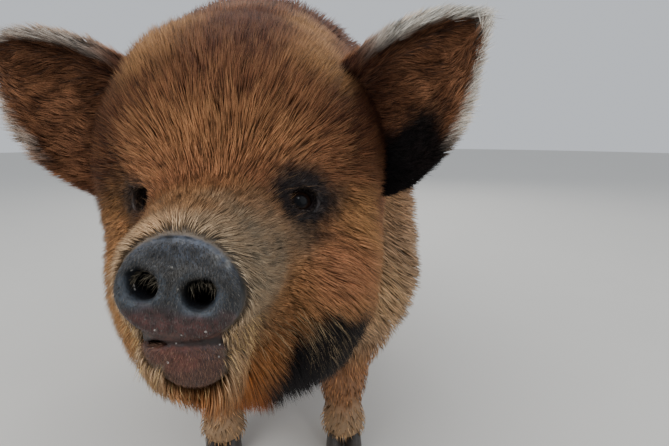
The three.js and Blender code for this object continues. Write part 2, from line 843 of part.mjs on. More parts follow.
// Colours and finish, as linear shares
const finish = {
  ginger: { color: 0x8a4a20, roughness: 0.85 },
  fawn: { color: 0xb0824c, roughness: 0.85 },
  dark: { color: 0x2b2522, roughness: 0.8 },
  disc: { color: 0x4a434b, roughness: 0.45 },
  eye: { color: 0x120c0a, roughness: 0.08 },
  hoof: { color: 0x3a322c, roughness: 0.5 },
};

const pig = new THREE.Group();
pig.position.copy(placeShift);
const headGroup = new THREE.Group();
headGroup.applyMatrix4(headToBody);
pig.add(headGroup);

function addPart(name, solid, look, inHead = false) {
  const geometry = geometryOf(solid);
  if (inHead) geometry.applyMatrix4(bodyToHead);
  const material = new THREE.MeshStandardMaterial({ ...finish[look], metalness: 0 });
  const mesh = new THREE.Mesh(geometry, material);
  mesh.name = name;
  (inHead ? headGroup : pig).add(mesh);
}

// What the locks keep clear of: the cuts between the parts, the ears, the legs, the tail and the bare face
const planeAt = (share) => ({ point: spine.getPointAt(share), normal: spine.getTangentAt(share) });
const cuts = { front: planeAt(neckFront), back: planeAt(neckBack) };
const past = (cut, p) => p.clone().sub(cut.point).dot(cut.normal);
const cutMargin = 2.5;
const earSpots = [];
for (const side of [-1, 1]) {
  for (let u = -0.1; u <= 0.5; u += 0.1) {
    for (let v = -1; v <= 1; v += 0.25) earSpots.push(earSpot(u, v, side).applyMatrix4(headToBody));
  }
}
const tailSpots = [0, 0.05, 0.1, 0.16, 0.22].map((t) => tailLine.getPointAt(t));
const clearOf = (spots, distance) => (p) => spots.every((s) => s.distanceTo(p) > distance);
const clearOfEars = clearOf(earSpots, 12);
const clearOfTail = clearOf(tailSpots, 26);
const clearOfMouth = clearOf(mouthLine.getPoints(16), 9);
const onLegs = (p) => {
  const q = new THREE.Vector3(Math.abs(p.x), p.y, p.z);
  return p.z < 200 && Math.min(legMass.front(q), legMass.hind(q)) < 16;
};
const onBareFace = (p) => {
  const q = p.clone().applyMatrix4(bodyToHead);
  const eye = new THREE.Vector3(Math.abs(q.x), q.y, q.z).distanceTo(eyeMiddle);
  const lips = q.distanceTo(new THREE.Vector3(0, -78, -46));
  return q.distanceTo(discMiddle) < 36 || eye < 21 || lips < 22 || !clearOfMouth(q);
};
const headFree = (p) => past(cuts.front, p) < -cutMargin && clearOfEars(p) && !onBareFace(p);
const neckFree = (p) =>
  past(cuts.front, p) > cutMargin && past(cuts.back, p) < -cutMargin && clearOfEars(p);
const torsoFree = (p) => past(cuts.back, p) > cutMargin && clearOfTail(p) && !onLegs(p);

const faceLocks = locksOver({ from: 0.06, to: 0.13, rows: 4, across: 12, size: "face" }, headFree);
const beardLocks = locksOver(
  { from: 0.01, to: 0.085, rows: 3, across: 14, size: "beard", high: -0.5 },
  headFree,
);
const crownLocks = locksOver({ from: 0.13, to: 0.16, rows: 1, across: 16, size: "crown" }, headFree);
const neckLocks = locksOver(
  { from: neckFront + 0.01, to: neckFront + 0.035, rows: 1, across: 15, size: "crown" },
  neckFree,
);
const backLocks = locksOver(
  { from: neckBack + 0.015, to: 1, rows: 7, across: 14, size: "back", low: -0.9 },
  torsoFree,
);

// Trunk
const torsoGrown = trunkPart(trunkParts.torso, gap);
const neckGrown = trunkPart(trunkParts.neck, gap);
const headGrown = trunkPart(trunkParts.head, gap).add(neckGrown);
const disc = discSolid();
const discSpace = solidOf(
  skinned(
    [
      [0.9, 14],
      [1.012, 7],
      [1.02, 3],
      [1.05, -14],
    ].map(([share, back]) =>
      Array.from({ length: 26 }, (_, j) => {
        const [x, z] = discOutline((j / 26) * 2 * Math.PI);
        return new THREE.Vector3(x * share, back, z * share);
      }),
    ),
  )
    .applyMatrix4(discFrame)
    .applyMatrix4(headToBody),
);
const joined = (core, locks) => largest(wasm.Manifold.union([core, ...locks]));
let head = joined(trunkPart(trunkParts.head), [...faceLocks, ...crownLocks, ...beardLocks]).subtract(
  discSpace,
);
for (const side of [-1, 1]) {
  head = head.add(lidSolid(side)).subtract(openingSolid(side)).subtract(eyeballSolid(side, gap));
}
head = largest(head.subtract(mouthSolid()));
addPart("head", head, "ginger", true);
addPart("snout_disc", largest(disc), "disc", true);
addPart("neck", joined(trunkPart(trunkParts.neck), neckLocks), "ginger");
addPart("torso", joined(trunkPart(trunkParts.torso), backLocks), "ginger");

for (const [side, word] of [
  [1, "left"],
  [-1, "right"],
]) {
  addPart(`eye_${word}`, eyeballSolid(side), "eye", true);
  const ear = joined(earSolid(side).subtract(headGrown), fringeLocks(side));
  addPart(`ear_${word}`, ear, "ginger", true);
  for (const [end, footY] of [
    ["front", frontFootY],
    ["hind", hindFootY],
  ]) {
    const footX = half * side;
    const { normal, offset } = coronet(footY, 0);
    const leg = joined(legSolid(end, side), legLocks(end, side))
      .subtract(torsoGrown)
      .trimByPlane([normal.x, normal.y, normal.z], offset);
    addPart(`leg_${end}_${word}`, largest(leg), "ginger");
    for (const inner of [true, false]) {
      const place = inner ? "inner" : "outer";
      addPart(`hoof_${end}_${word}_${place}`, toeSolid(footX, footY, side, inner), "hoof");
      const claw = dewclawSolid(footX, dewclawY[end], side, inner);
      const legWall = legSolid(end, side);
      addPart(`dewclaw_${end}_${word}_${place}`, largest(claw.subtract(legWall)), "hoof");
    }
  }
}
addPart("tail", joined(tailSolid().subtract(torsoGrown), tasselLocks()), "ginger");

export default pig;
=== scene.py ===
import math
import bpy
import numpy as np
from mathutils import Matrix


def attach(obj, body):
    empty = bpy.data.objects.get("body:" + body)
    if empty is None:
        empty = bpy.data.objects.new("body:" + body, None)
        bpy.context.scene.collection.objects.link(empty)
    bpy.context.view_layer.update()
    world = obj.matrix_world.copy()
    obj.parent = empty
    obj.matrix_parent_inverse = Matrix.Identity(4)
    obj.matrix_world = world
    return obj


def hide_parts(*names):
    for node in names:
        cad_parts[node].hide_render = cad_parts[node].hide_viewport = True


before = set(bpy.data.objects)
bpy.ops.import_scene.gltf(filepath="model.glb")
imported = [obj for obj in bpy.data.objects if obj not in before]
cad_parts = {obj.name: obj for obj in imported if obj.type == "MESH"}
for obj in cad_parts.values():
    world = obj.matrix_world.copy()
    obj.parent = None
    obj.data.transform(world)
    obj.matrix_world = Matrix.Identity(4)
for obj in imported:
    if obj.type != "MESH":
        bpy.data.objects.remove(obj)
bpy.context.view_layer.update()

import openvdb

# A young kunekune pig, standing. Shapes are worked out in millimetres and put into
# the meshes in metres. The skin is the zero level of one field of distances.
scene = bpy.context.scene
print("frame loaded,", len(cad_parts), "nodes")

# Camera, light and floor

viewing = {
    "place": (27.55, -541.63, 324.50),  # mm
    "turn": 4.1275,  # degrees to the right of +Y
    "down": 11.2078,
    "lens": 26.2,
    "sensor": 36.0,
}
studio = {
    "sky": (0.86, 0.9, 0.96),
    "skyStrength": 0.74,
    "key": {"place": (-0.9, -1.25, 1.7), "size": 1.6, "power": 27.0, "colour": (1.0, 0.975, 0.94)},
    "fill": {"place": (1.6, -0.9, 0.9), "size": 1.6, "power": 7.0, "colour": (0.95, 0.97, 1.0)},
    "back": {"place": (0.3, 1.7, 1.5), "size": 1.4, "power": 16.0, "colour": (1.0, 0.96, 0.9)},
    "catch": {"place": (0.5, -1.0, 1.02), "size": 0.2, "power": 1.4, "colour": (1.0, 1.0, 1.0)},
    "floor": (0.62, 0.61, 0.58),
    "floorRadius": 7.0,
}


def addCamera():
    data = bpy.data.cameras.new("photoView")
    data.sensor_width = viewing["sensor"]
    data.lens = viewing["lens"]
    data.clip_start = 0.01
    data.dof.use_dof = False
    camera = bpy.data.objects.new("photoView", data)
    camera.location = [v / 1000 for v in viewing["place"]]
    camera.rotation_euler = (math.radians(90 - viewing["down"]), 0, -math.radians(viewing["turn"]))
    scene.collection.objects.link(camera)
    scene.camera = camera


def addLight(name, values, aim=(0.0, -0.15, 0.22)):
    data = bpy.data.lights.new(name, "AREA")
    data.shape = "DISK"
    data.size = values["size"]
    data.energy = values["power"]
    data.color = values["colour"]
    light = bpy.data.objects.new(name, data)
    light.location = values["place"]
    way = np.array(aim) - np.array(values["place"])
    across = math.hypot(way[0], way[1])
    light.rotation_euler = (math.atan2(across, -way[2]), 0, math.atan2(-way[0], way[1]))
    scene.collection.objects.link(light)


addCamera()
for lightName in ("key", "fill", "back", "catch"):
    addLight(lightName, studio[lightName])
world = bpy.data.worlds.new("paleRoom")
world.use_nodes = True
sky = world.node_tree.nodes["Background"]
sky.inputs["Color"].default_value = (*studio["sky"], 1)
sky.inputs["Strength"].default_value = studio["skyStrength"]
scene.world = world
print("camera and lights placed")

# Helpers for meshes


def smoothStep(value, low, high):
    # 0 below low, 1 above high, 3t^2 - 2t^3 between them
    t = np.clip((value - low) / (high - low), 0, 1)
    return t * t * (3 - 2 * t)


def fade(value, low, high):
    # the same from 1 down to 0
    return 1 - smoothStep(value, low, high)


def mixIn(a, b, share):
    # a where share is 0, b where it is 1
    return a + (b - a) * share


def mixColour(colour, other, share):
    # the same for rows of colours, with a share for each row
    return colour + (single(other) - colour) * share[:, None]


def overlay(c, palette, layers):
    # colours laid over one another, each with its share
    for colour, share in layers:
        c = mixColour(c, palette[colour], share)
    return c


def single(values):
    return np.asarray(values, dtype=np.float32)


def unit(v):
    return v / np.maximum(np.linalg.norm(v, axis=-1, keepdims=True), 1e-9)


def circle(count):
    # angles of evenly spread points on a ring
    return np.arange(count) / count * 2 * math.pi


def bell(x, middle, width):
    # 1 at the middle, e^-1 a width away
    return np.exp(-(((x - middle) / width) ** 2))


def farFrom(p, middle):
    return np.linalg.norm(p - np.array(middle), axis=1)


def ripple(p, size, seed, turns=5):
    # smooth noise from -1 to 1: a mean of sine waves of about one wavelength in random directions
    draw = np.random.default_rng(seed)
    total = 0
    for _ in range(turns):
        way = unit(draw.normal(size=3)) * (2 * math.pi / size) * draw.uniform(0.6, 1.5)
        total = total + np.sin(p @ single(way) + draw.uniform(0, 6.28))
    return total / turns * 1.5


def fillMesh(name, points, faceSets):
    # points in mm; each face set is an array of rows with 3 or 4 corner numbers
    mesh = bpy.data.meshes.new(name)
    mesh.vertices.add(len(points))
    mesh.vertices.foreach_set("co", (single(points) / 1000).ravel())
    corners = np.concatenate([f.ravel() for f in faceSets]).astype(np.int32)
    sizes = np.concatenate([np.full(len(f), f.shape[1]) for f in faceSets])
    starts = np.concatenate([[0], np.cumsum(sizes)[:-1]]).astype(np.int32)
    mesh.loops.add(len(corners))
    mesh.loops.foreach_set("vertex_index", corners)
    mesh.polygons.add(len(sizes))
    mesh.polygons.foreach_set("loop_start", starts)
    mesh.update(calc_edges=True)
    mesh.shade_smooth()
    return mesh


def addPiece(name, mesh, material, nodes=()):
    piece = bpy.data.objects.new(name, mesh)
    scene.collection.objects.link(piece)
    mesh.materials.append(material)
    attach(piece, "root")
    if nodes:
        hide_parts(*nodes)


def paint(mesh, name, values):
    # one colour or number for each point
    values = single(values)
    if values.ndim == 2:
        layer = mesh.attributes.new(name, "FLOAT_COLOR", "POINT")
        layer.data.foreach_set("color", np.pad(values, ((0, 0), (0, 1)), constant_values=1).ravel())
    else:
        layer = mesh.attributes.new(name, "FLOAT", "POINT")
        layer.data.foreach_set("value", values)


def asTriangles(faceSets):
    # every four-cornered face as two triangles
    rows = []
    for faces in faceSets:
        rows.append(faces[:, :3])
        if faces.shape[1] == 4:
            rows.append(faces[:, [0, 2, 3]])
    return np.concatenate(rows)


def asGround(points, faceSets):
    # what a coat is sown on: points, normals and triangles; a normal sums its triangles' crossed edges
    triangles = asTriangles(faceSets)
    a, b, c = (points[triangles[:, i]] for i in range(3))
    across = np.cross(b - a, c - a)
    total = np.zeros((len(points), 3))
    for i in range(3):
        for axis in range(3):
            total[:, axis] += np.bincount(triangles[:, i], across[:, axis], len(points))
    return points, unit(total), triangles


def ringFaces(rings, sides, closed=False):
    # four-cornered faces between neighbouring rings of points, wound outwards
    i, j = np.meshgrid(np.arange(rings if closed else rings - 1), np.arange(sides), indexing="ij")
    k, m = (i + 1) % rings, (j + 1) % sides
    faces = np.stack([i * sides + j, i * sides + m, k * sides + m, k * sides + j], -1)
    return faces.reshape(-1, 4)


def closedRings(rings, sides):
    # the wall between the rings, and a fan of triangles at each end to two poles listed after them
    fans = []
    for first, flip in ((0, True), ((rings - 1) * sides, False)):
        ring = np.arange(sides) + first
        pole = np.full(sides, rings * sides + len(fans))
        rows = np.stack([ring, np.roll(ring, -1), pole], 1)
        fans.append(rows[:, ::-1] if flip else rows)
    return [ringFaces(rings, sides), np.concatenate(fans)]


def outward(points, faceSets):
    # turns every face round if the closed shape's volume comes out negative
    t = asTriangles(faceSets)
    a, b, c = (points[t[:, i]] for i in range(3))
    if (np.cross(a, b) * c).sum() < 0:
        faceSets = [faces[:, ::-1] for faces in faceSets]
    return points, faceSets


# The pig's mass: rounded balls and tapered bars, melted together

shift = single([8.5, 28, 0])  # from the body's own frame to the shared one
headPose = {"place": (-16, -304, 270), "lift": 10.0, "turn": 6.0}
discShape = {
    "middle": (0.3, -91, -19.8),
    "tilt": 4.0,
    "roll": 6.0,
    "halfWidth": 23.7,
    "halfHeight": 18.6,
    "apart": 20.0,  # between the nostrils' middles
    "nostril": 5.7,
    "nostrilMiddle": (-2.1, -0.4),
}
eyeShape = {"radius": 11.0, "middle": (32.8, -15.6, 12.9), "aim": (0.50, -0.86, 0.12), "dome": 12.7}


def turning(axis, degrees):
    # the matrix of a turn about x, y or z, numbered 0, 1 and 2
    c, s = math.cos(math.radians(degrees)), math.sin(math.radians(degrees))
    i, k = (axis + 1) % 3, (axis + 2) % 3
    matrix = np.eye(3)
    matrix[i, i] = matrix[k, k] = c
    matrix[i, k], matrix[k, i] = -s, s
    return matrix


bothSides = ((1, "left"), (-1, "right"))
headTurning = single(turning(2, -headPose["turn"]) @ turning(0, -headPose["lift"]))
headOrigin = single(np.array(headPose["place"]) + shift)
discTurning = single(turning(0, -discShape["tilt"]) @ turning(1, discShape["roll"]))
discOrigin = single(discShape["middle"])
eyeOrigin = single(eyeShape["middle"])
eyeOut = unit(np.array(eyeShape["aim"]))
eyeAcross = unit(np.cross((0, 0, 1), eyeOut))
eyeTurning = single(np.stack([eyeAcross, np.cross(eyeOut, eyeAcross), eyeOut], 1))


def toHead(p):
    return (p - headOrigin) @ headTurning


def fromHead(q):
    return q @ headTurning.T + headOrigin


def toDisc(q):
    return (q - discOrigin) @ discTurning


def mirrored(p):
    return np.concatenate([np.abs(p[..., :1]), p[..., 1:]], -1)


def ball(p, middle, radii):
    # with q = (p - middle) / radii, the distance is nearly |q| (|q| - 1) / |q / radii|
    radii = single(radii)
    q = (p - single(middle)) / radii
    n = np.sqrt((q * q).sum(-1))
    q /= radii
    return n * (n - 1) / np.maximum(np.sqrt((q * q).sum(-1)), 1e-9)


def bar(p, a, ra, b, rb, wide=1.0):
    # distance to the nearest place on the line from a to b, less a radius that runs from ra to rb
    stretch = single([1 / wide, 1, 1])
    a = single(a) * stretch
    d = single(b) * stretch - a
    q = p * stretch - a
    t = np.clip(q @ d / (d @ d), 0, 1)
    q -= t[..., None] * d
    return np.sqrt((q * q).sum(-1)) - (ra + (rb - ra) * t)


def soft(a, b, k):
    # the lower of two distances, with the step between them rounded over a width k
    h = np.maximum(k - np.abs(a - b), 0) / k
    return np.minimum(a, b) - h * h * k / 4


def cutOut(a, b, k):
    # a without b, its edge rounded over a width k
    return -soft(-a, b, k)


def melt(parts, k):
    total = parts[0]
    for part in parts[1:]:
        total = soft(total, part, k)
    return total


def headMass(q):
    m = mirrored(q)
    return melt([
        ball(q, (0, 26, 26), (60, 54, 58)),
        ball(q, (0, 4, 42), (40, 38, 36)),
        ball(m, (25, -8, 32), (17, 22, 17)),
        ball(m, (38, 22, -28), (29, 46, 48)),
        bar(q, (0, -4, -2), 37, (0, -76, -18), 25, 1.06),
        bar(q, (0, 14, -48), 32, (0, -60, -45), 14, 1.15),
        ball(q, (1, -78, -49), (15, 10, 8)),
    ], 16)


def bodyMass(b):
    m = mirrored(b)
    return melt([
        ball(b, (-4, -95, 262), (100, 118, 130)),
        ball(b, (-4, -140, 160), (72, 56, 62)),
        ball(b, (-4, 62, 220), (128, 165, 112)),
        ball(b, (-8, 190, 258), (112, 114, 112)),
        bar(b, (-16, -100, 312), 92, (-8, 185, 288), 90, 1.08),
        bar(b, (-18, -110, 312), 94, (-16, -232, 296), 74, 1.1),
        ball(m, (78, -98, 205), (42, 62, 82)),
        ball(m, (72, 188, 205), (48, 76, 88)),
        ball(b, (-10, -212, 236), (66, 62, 54)),
        bar(b, (-16, -272, 306), 46, (-17, -205, 322), 62, 1.1),
    ], 40)


def frontLeg(m):
    return melt([
        bar(m, (70, -96, 180), 46, (67, -100, 122), 31),
        bar(m, (67, -100, 122), 30, (61, -108, 70), 19.5),
        bar(m, (61, -108, 70), 19, (61, -110, 34), 16),
        ball(m, (61, -118, 26), (19, 20, 15)),
    ], 14)


def hindLeg(m):
    return melt([
        bar(m, (74, 190, 180), 56, (70, 226, 116), 32),
        bar(m, (70, 226, 116), 31, (63, 248, 84), 20),
        bar(m, (63, 248, 84), 19.5, (61, 232, 34), 16),
        ball(m, (61, 222, 26), (19, 20, 15)),
    ], 14)


def discSide(d):
    # distance outside the disc's rim: an oval, taller above, with a small notch below
    z = d[..., 2]
    x = d[..., 0] * (1 + 0.07 * z / discShape["halfHeight"])
    wide = discShape["halfWidth"]
    low = 0.98 * discShape["halfHeight"] - 2.2 * bell(x, 0, 4.5)
    tall = np.where(z > 0, 1.04 * discShape["halfHeight"], low)
    n = np.sqrt((x / wide) ** 2 + (z / tall) ** 2)
    g = np.sqrt((x / wide**2) ** 2 + (z / tall**2) ** 2)
    return n * (n - 1) / np.maximum(g, 1e-4), n


def nostrilGap(d):
    # a tunnel behind each nostril: an oval drawn out towards its outer top, narrowing with depth
    midX, midZ = discShape["nostrilMiddle"]
    x = np.abs(d[..., 0] - midX) - discShape["apart"] / 2 + d[..., 1] * 0.12
    z = (d[..., 2] - midZ + 0.05 * (d[..., 0] - midX)) / 0.92
    turn = np.arctan2(z, x)
    drawn = 1 + 0.28 * np.maximum(np.cos(turn - 0.8), 0) ** 3
    share = np.interp(d[..., 1], (-4, 0, 6, 14, 22), (1.06, 0.95, 0.86, 0.74, 0.3))
    far = np.hypot(x, z)
    return far - discShape["nostril"] * drawn * share.astype(np.float32), far


def mouthGap(q, inside):
    # a thin gap between the lips, wider beside the middle on the right, that ends at the corners
    x = q[..., 0]
    height = np.interp(np.abs(x), (0, 20, 33, 44, 60), (-39.4, -42, -46, -48, -49)).astype(np.float32)
    thick = -0.35 + 1.55 * bell(x, -9, 5)
    ends = np.maximum(smoothStep(np.abs(x), 30, 45), smoothStep(q[..., 1], -44, -30))
    thick = mixIn(thick, -1.5, ends)
    return np.maximum(np.abs(q[..., 2] - height) - thick, -(inside + 7))


def skinField(p, withFace=True):
    # the melted masses, then the disc, nostrils, mouth, eye sockets and lids
    b = p - shift
    m = mirrored(b)
    q = toHead(p)
    whole = bodyMass(b)
    if withFace:
        whole = soft(headMass(q), whole, 36)
    whole = soft(soft(whole, frontLeg(m), 26), hindLeg(m), 26)
    if not withFace:
        return whole
    e = (mirrored(q) - eyeOrigin) @ eyeTurning
    far = np.sqrt((e * e).sum(-1))
    whole = soft(whole, far - eyeShape["dome"], 9)
    whole = cutOut(whole, far - eyeShape["radius"] - 0.4, 0.8)
    opening = np.sqrt((e[..., 0] / 8.8) ** 2 + (e[..., 1] / 6.8) ** 2)
    whole = cutOut(whole, np.maximum((opening - 1) * 7, 4 - e[..., 2]), 1.6)
    lips = ball(q, (3.8, -78.6, -48.0), (12.2, 12.8, 10.4)), ball(q, (-8.2, -78.0, -43.4), (7.6, 10.5, 5.4))
    whole = soft(whole, soft(*lips, 7), 4)
    whole = cutOut(whole, mouthGap(q, whole), 1.6)
    d = toDisc(q)
    side, n = discSide(d)
    whole = cutOut(whole, np.maximum(side, d[..., 1] - 6), 1.2)
    hole, far = nostrilGap(d)
    swell = 0.9 * bell(far, 8.2, 2.4) * fade(n, 0.8, 1)
    groove = 0.7 * bell(d[..., 0], 0, 1.4) * fade(d[..., 2], -12, -6)
    face = -3.9 + 0.7 * bell(n, 0.62, 0.22) - swell + groove
    side = side + 4.2
    depth = np.maximum(face - d[..., 1], d[..., 1] - 12) + 4.2
    outer = np.hypot(np.maximum(side, 0), np.maximum(depth, 0))
    disc = outer - 4.2 + np.minimum(np.maximum(side, depth), 0)
    whole = soft(whole, disc, 1.6)
    return cutOut(whole, hole, 2.4)


# One skin over the whole pig, meshed from the field

skinGrid = {
    "cell": 3.2,  # mm across the body; the head's cells shrink with the share below
    "alongY": (-385, -335, -300, -250, -150, 60, 390),
    "share": (0.36, 0.38, 0.5, 0.62, 0.95, 1.0, 1.0),
    "middleX": (-16, -14, -10, -6, 0, 4, 4),
    "middleZ": (245, 248, 255, 258, 235, 216, 216),
    "stepY": (1.05, 1.05, 1.8, 2.4, 5.0, 7.5, 7.5),
}


def curvedGrid():
    # a level grid of x, y and z whose cells narrow towards the nose
    rows = skinGrid["alongY"]
    y = [-384.0]
    while y[-1] < 386:
        y.append(y[-1] + float(np.interp(y[-1], rows, skinGrid["stepY"])))
    y = np.array(y)
    across = np.arange(-154, 154.1, skinGrid["cell"])
    up = np.arange(-218, 218.1, skinGrid["cell"])
    return across, y, up


def onGrid(across, y, up):
    rows = skinGrid["alongY"]
    share = np.interp(y, rows, skinGrid["share"])
    x = np.interp(y, rows, skinGrid["middleX"]) + across * share
    z = np.interp(y, rows, skinGrid["middleZ"]) + up * share
    return np.stack(np.broadcast_arrays(x, y, z), -1).astype(np.float32)


def settle(points, field, rounds=2):
    # steps along the field's slope until a point lies on its zero level
    for _ in range(rounds):
        value = field(points)
        slope = np.empty_like(points)
        for axis in range(3):
            step = np.zeros(3, dtype=np.float32)
            step[axis] = 0.25
            slope[:, axis] = (field(points + step) - field(points - step)) / 0.5
        size = np.maximum((slope * slope).sum(-1), 0.2)
        points = points - slope * np.clip(value / size, -2, 2)[:, None]
    return points


def meshField():
    across, y, up = curvedGrid()
    values = np.empty((len(across), len(y), len(up)), dtype=np.float32)
    for first in range(0, len(y), 12):
        rows = y[first : first + 12]
        p = onGrid(across[:, None, None], rows[None, :, None], up[None, None, :])
        values[:, first : first + 12] = skinField(p, rows[0] < -90)
    grid = openvdb.FloatGrid(background=30.0)
    grid.copyFromArray(np.clip(values, -30, 30))
    places, quads = grid.convertToQuads(0.0)
    places = places.astype(np.float64)
    u = np.interp(places[:, 0], np.arange(len(across)), across)
    v = np.interp(places[:, 1], np.arange(len(y)), y)
    w = np.interp(places[:, 2], np.arange(len(up)), up)
    return settle(onGrid(u, v, w), skinField), quads.astype(np.int64)


# Ears and tail, grown on the same mesh

earShape = {
    "top": ((44, 26, 78), (92, 14, 130), (134, 2, 114)),
    "middle": ((58, 56, 52), (100, 46, 84), (135, 4, 113)),
    "low": ((66, 38, 20), (122, 22, 14), (134, 3, 112)),
    "droop": 9.0,  # the right ear hangs lower
    "root": (58, 35, 50),
    "reach": (-0.12, 0.98),  # share of the length from the root, which starts inside the head
    "rows": 64,
    "sides": 72,
}
tailShape = {
    "line": (
        (0, 286, 318), (0, 314, 318), (3, 336, 300), (12, 344, 268),
        (22, 341, 236), (20, 337, 208), (10, 338, 184),
    ),
    "radii": (12, 4.2),
    "rings": 90,
    "sides": 28,
}


def earPoint(u, v):
    # three curved edges from root to tip, joined across by a parabola
    edges = []
    for name in ("top", "middle", "low"):
        a, b, c = np.array(earShape[name], dtype=np.float64)
        edges.append(a * (1 - u) ** 2 + 2 * b * u * (1 - u) + c * u * u)
    return edges[0] * (v * (v - 1) / 2) + edges[1] * (1 - v * v) + edges[2] * (v * (v + 1) / 2)


def placeEar(q, side):
    if side < 0:
        root = np.array(earShape["root"])
        q = (q - root) @ turning(1, earShape["droop"]).T + root
    return fromHead(single(q * np.array([side, 1, 1])))


def earSurface(side):
    # a cupped leaf: the parabola's sheet thickened both ways, thin at its rim, with soft waves
    rows, sides = earShape["rows"], earShape["sides"]
    u = np.linspace(*earShape["reach"], rows)[:, None, None]
    w = circle(sides)[None, :, None]
    v = -np.cos(w)
    step = 0.01
    along = earPoint(u + step, v) - earPoint(u - step, v)
    over = earPoint(u, v + step) - earPoint(u, v - step)
    out = unit(np.cross(along, over))
    half = (0.9 + 2.6 * (1 - np.abs(v) ** 4) * (1 - 0.55 * np.maximum(u, 0))) * 1.1
    wave = 1.1 * np.sin(u * 9 + v * 2.2) * (1 - v * v) * np.clip(u, 0, 1)
    fold = half * np.sign(np.sin(w)) * np.sqrt(np.abs(np.sin(w)))
    q = placeEar((earPoint(u, v) + out * (fold + wave)).reshape(-1, 3), side)
    ends = np.stack([q[:sides].mean(0), q[-sides:].mean(0)])
    return outward(np.concatenate([q, ends]), closedRings(rows, sides))


def earPlaces():
    # the share along and across the ear for each of its mesh points
    rows, sides, reach = earShape["rows"], earShape["sides"], earShape["reach"]
    u = np.repeat(np.linspace(*reach, rows), sides)
    v = np.tile(-np.cos(circle(sides)), rows)
    return np.append(u, reach), np.append(v, [0, 0])


def smoothLine(line, count):
    # a Catmull-Rom curve through the points, in even steps of their number
    line = np.array(line, dtype=np.float64)
    padded = np.concatenate([2 * line[:1] - line[1:2], line, 2 * line[-1:] - line[-2:-1]])
    t = np.linspace(0, len(line) - 1.0001, count)
    i = t.astype(int)
    f = (t - i)[:, None]
    p0, p1, p2, p3 = (padded[i + k] for k in range(4))
    square, cube = 2 * p0 - 5 * p1 + 4 * p2 - p3, 3 * p1 - p0 - 3 * p2 + p3
    return 0.5 * (2 * p1 + (p2 - p0) * f + square * f**2 + cube * f**3)


def tubeSurface(line, radii, sides):
    # rings at right angles to the line, closed by a pole at each end
    along = unit(np.gradient(line, axis=0))
    side = unit(np.cross(along, np.array([0.13, 0.2, 1.0]) + np.array([0, 1, 0]) * np.abs(along[:, 2:])))
    up = np.cross(side, along)
    turn = circle(sides)
    ring = side[:, None] * np.cos(turn)[None, :, None] + up[:, None] * np.sin(turn)[None, :, None]
    points = (line[:, None] + ring * radii[:, None, None]).reshape(-1, 3)
    ends = np.stack([line[0] - along[0] * radii[0] * 0.3, line[-1] + along[-1] * radii[-1] * 0.5])
    return outward(np.concatenate([points, ends]), closedRings(len(line), sides))


def tailSurface():
    # the radius falls evenly from root to tip, with a swelling where the tail's tuft sits
    line = smoothLine(tailShape["line"], tailShape["rings"]) + shift
    t = np.linspace(0, 1, tailShape["rings"])
    radii = mixIn(*tailShape["radii"], t) + 2 * bell(t, 0.88, 0.12)
    return tubeSurface(line, radii, tailShape["sides"])


# What grows where

coatLength = {"body": 16, "crown": 14, "cheek": 10, "muzzle": 4, "beard": 10.5, "eye": 0.4, "leg": 4}


def spot(q, middle, radii, edge, noise=0.0):
    # 1 inside an oval region, 0 outside it, with a soft uneven edge
    n = np.linalg.norm((q - np.array(middle)) / np.array(radii), axis=1)
    return fade(n + noise * 0.16, 1 - edge, 1 + edge)


def coatDepth(p):
    # how far the coat stands off the skin, from region to region
    q = toHead(p)
    onHead = fade(q[:, 1], 20, 80)
    head = mixIn(coatLength["cheek"], coatLength["crown"], smoothStep(q[:, 2], -10, 60))
    ruff = smoothStep(q[:, 0], 38, 58) * smoothStep(q[:, 1], -25, 0) * fade(np.abs(q[:, 2] + 22), 18, 40)
    head = head + 5.0 * ruff + 6.0 * spot(q, (-40, 4, 84), (20, 46, 24), 0.9)
    depth = mixIn(coatLength["body"], head, onHead)
    near = fade(farFrom(q, discOrigin), 30, 95)
    depth = mixIn(depth, coatLength["muzzle"], near)
    depth = mixIn(depth, coatLength["beard"], onHead * fade(q[:, 2], -66, -46))
    nearEye = farFrom(mirrored(q), eyeOrigin)
    depth = mixIn(depth, coatLength["eye"], fade(nearEye, 15, 42))
    return mixIn(depth, coatLength["leg"], fade(p[:, 2], 70, 150))


def coatLie(p, normal):
    # away from the nose on the head, backwards and down on the body, down on the legs
    q = toHead(p)
    fromNose = unit(q - single([0, -84, -12])).astype(np.float64)
    cheek = smoothStep(np.abs(q[:, 0]), 30, 58) * fade(q[:, 2], 8, 48) * smoothStep(q[:, 1], -50, -15)
    fromNose[:, 2] -= 0.75 * cheek
    fromNose = fromNose @ headTurning.T
    down = -0.45 * (1 - np.abs(normal[:, 2]))
    onBody = np.stack([np.zeros(len(p)), np.ones(len(p)), down], 1)
    way = mixIn(fromNose, unit(onBody), smoothStep(q[:, 1], 20, 90)[:, None])
    onLeg = fade(p[:, 2], 90, 160)
    way = mixIn(way, unit(np.array([0, 0.25, -1.0])), onLeg[:, None])
    return unit(way - normal * (way * normal).sum(1, keepdims=True))


# colours, as a painter would mix them (linear)
coatColours = {
    "ginger": (0.36, 0.160, 0.078),
    "chestnut": (0.18, 0.072, 0.034),
    "plum": (0.105, 0.036, 0.024),
    "umber": (0.065, 0.021, 0.009),
    "maroon": (0.070, 0.021, 0.011),
    "blueBlack": (0.0065, 0.0085, 0.0115),
    "soot": (0.0185, 0.0175, 0.020),
    "rust": (0.43, 0.18, 0.10),
    "sienna": (0.40, 0.168, 0.066),
    "orange": (0.29, 0.078, 0.009),
    "golden": (0.52, 0.285, 0.12),
    "cream": (0.54, 0.43, 0.29),
    "greyGreen": (0.19, 0.18, 0.14),
    "black": (0.004, 0.0036, 0.004),
    "silver": (0.86, 0.80, 0.67),
    "tan": (0.46, 0.30, 0.16),
}
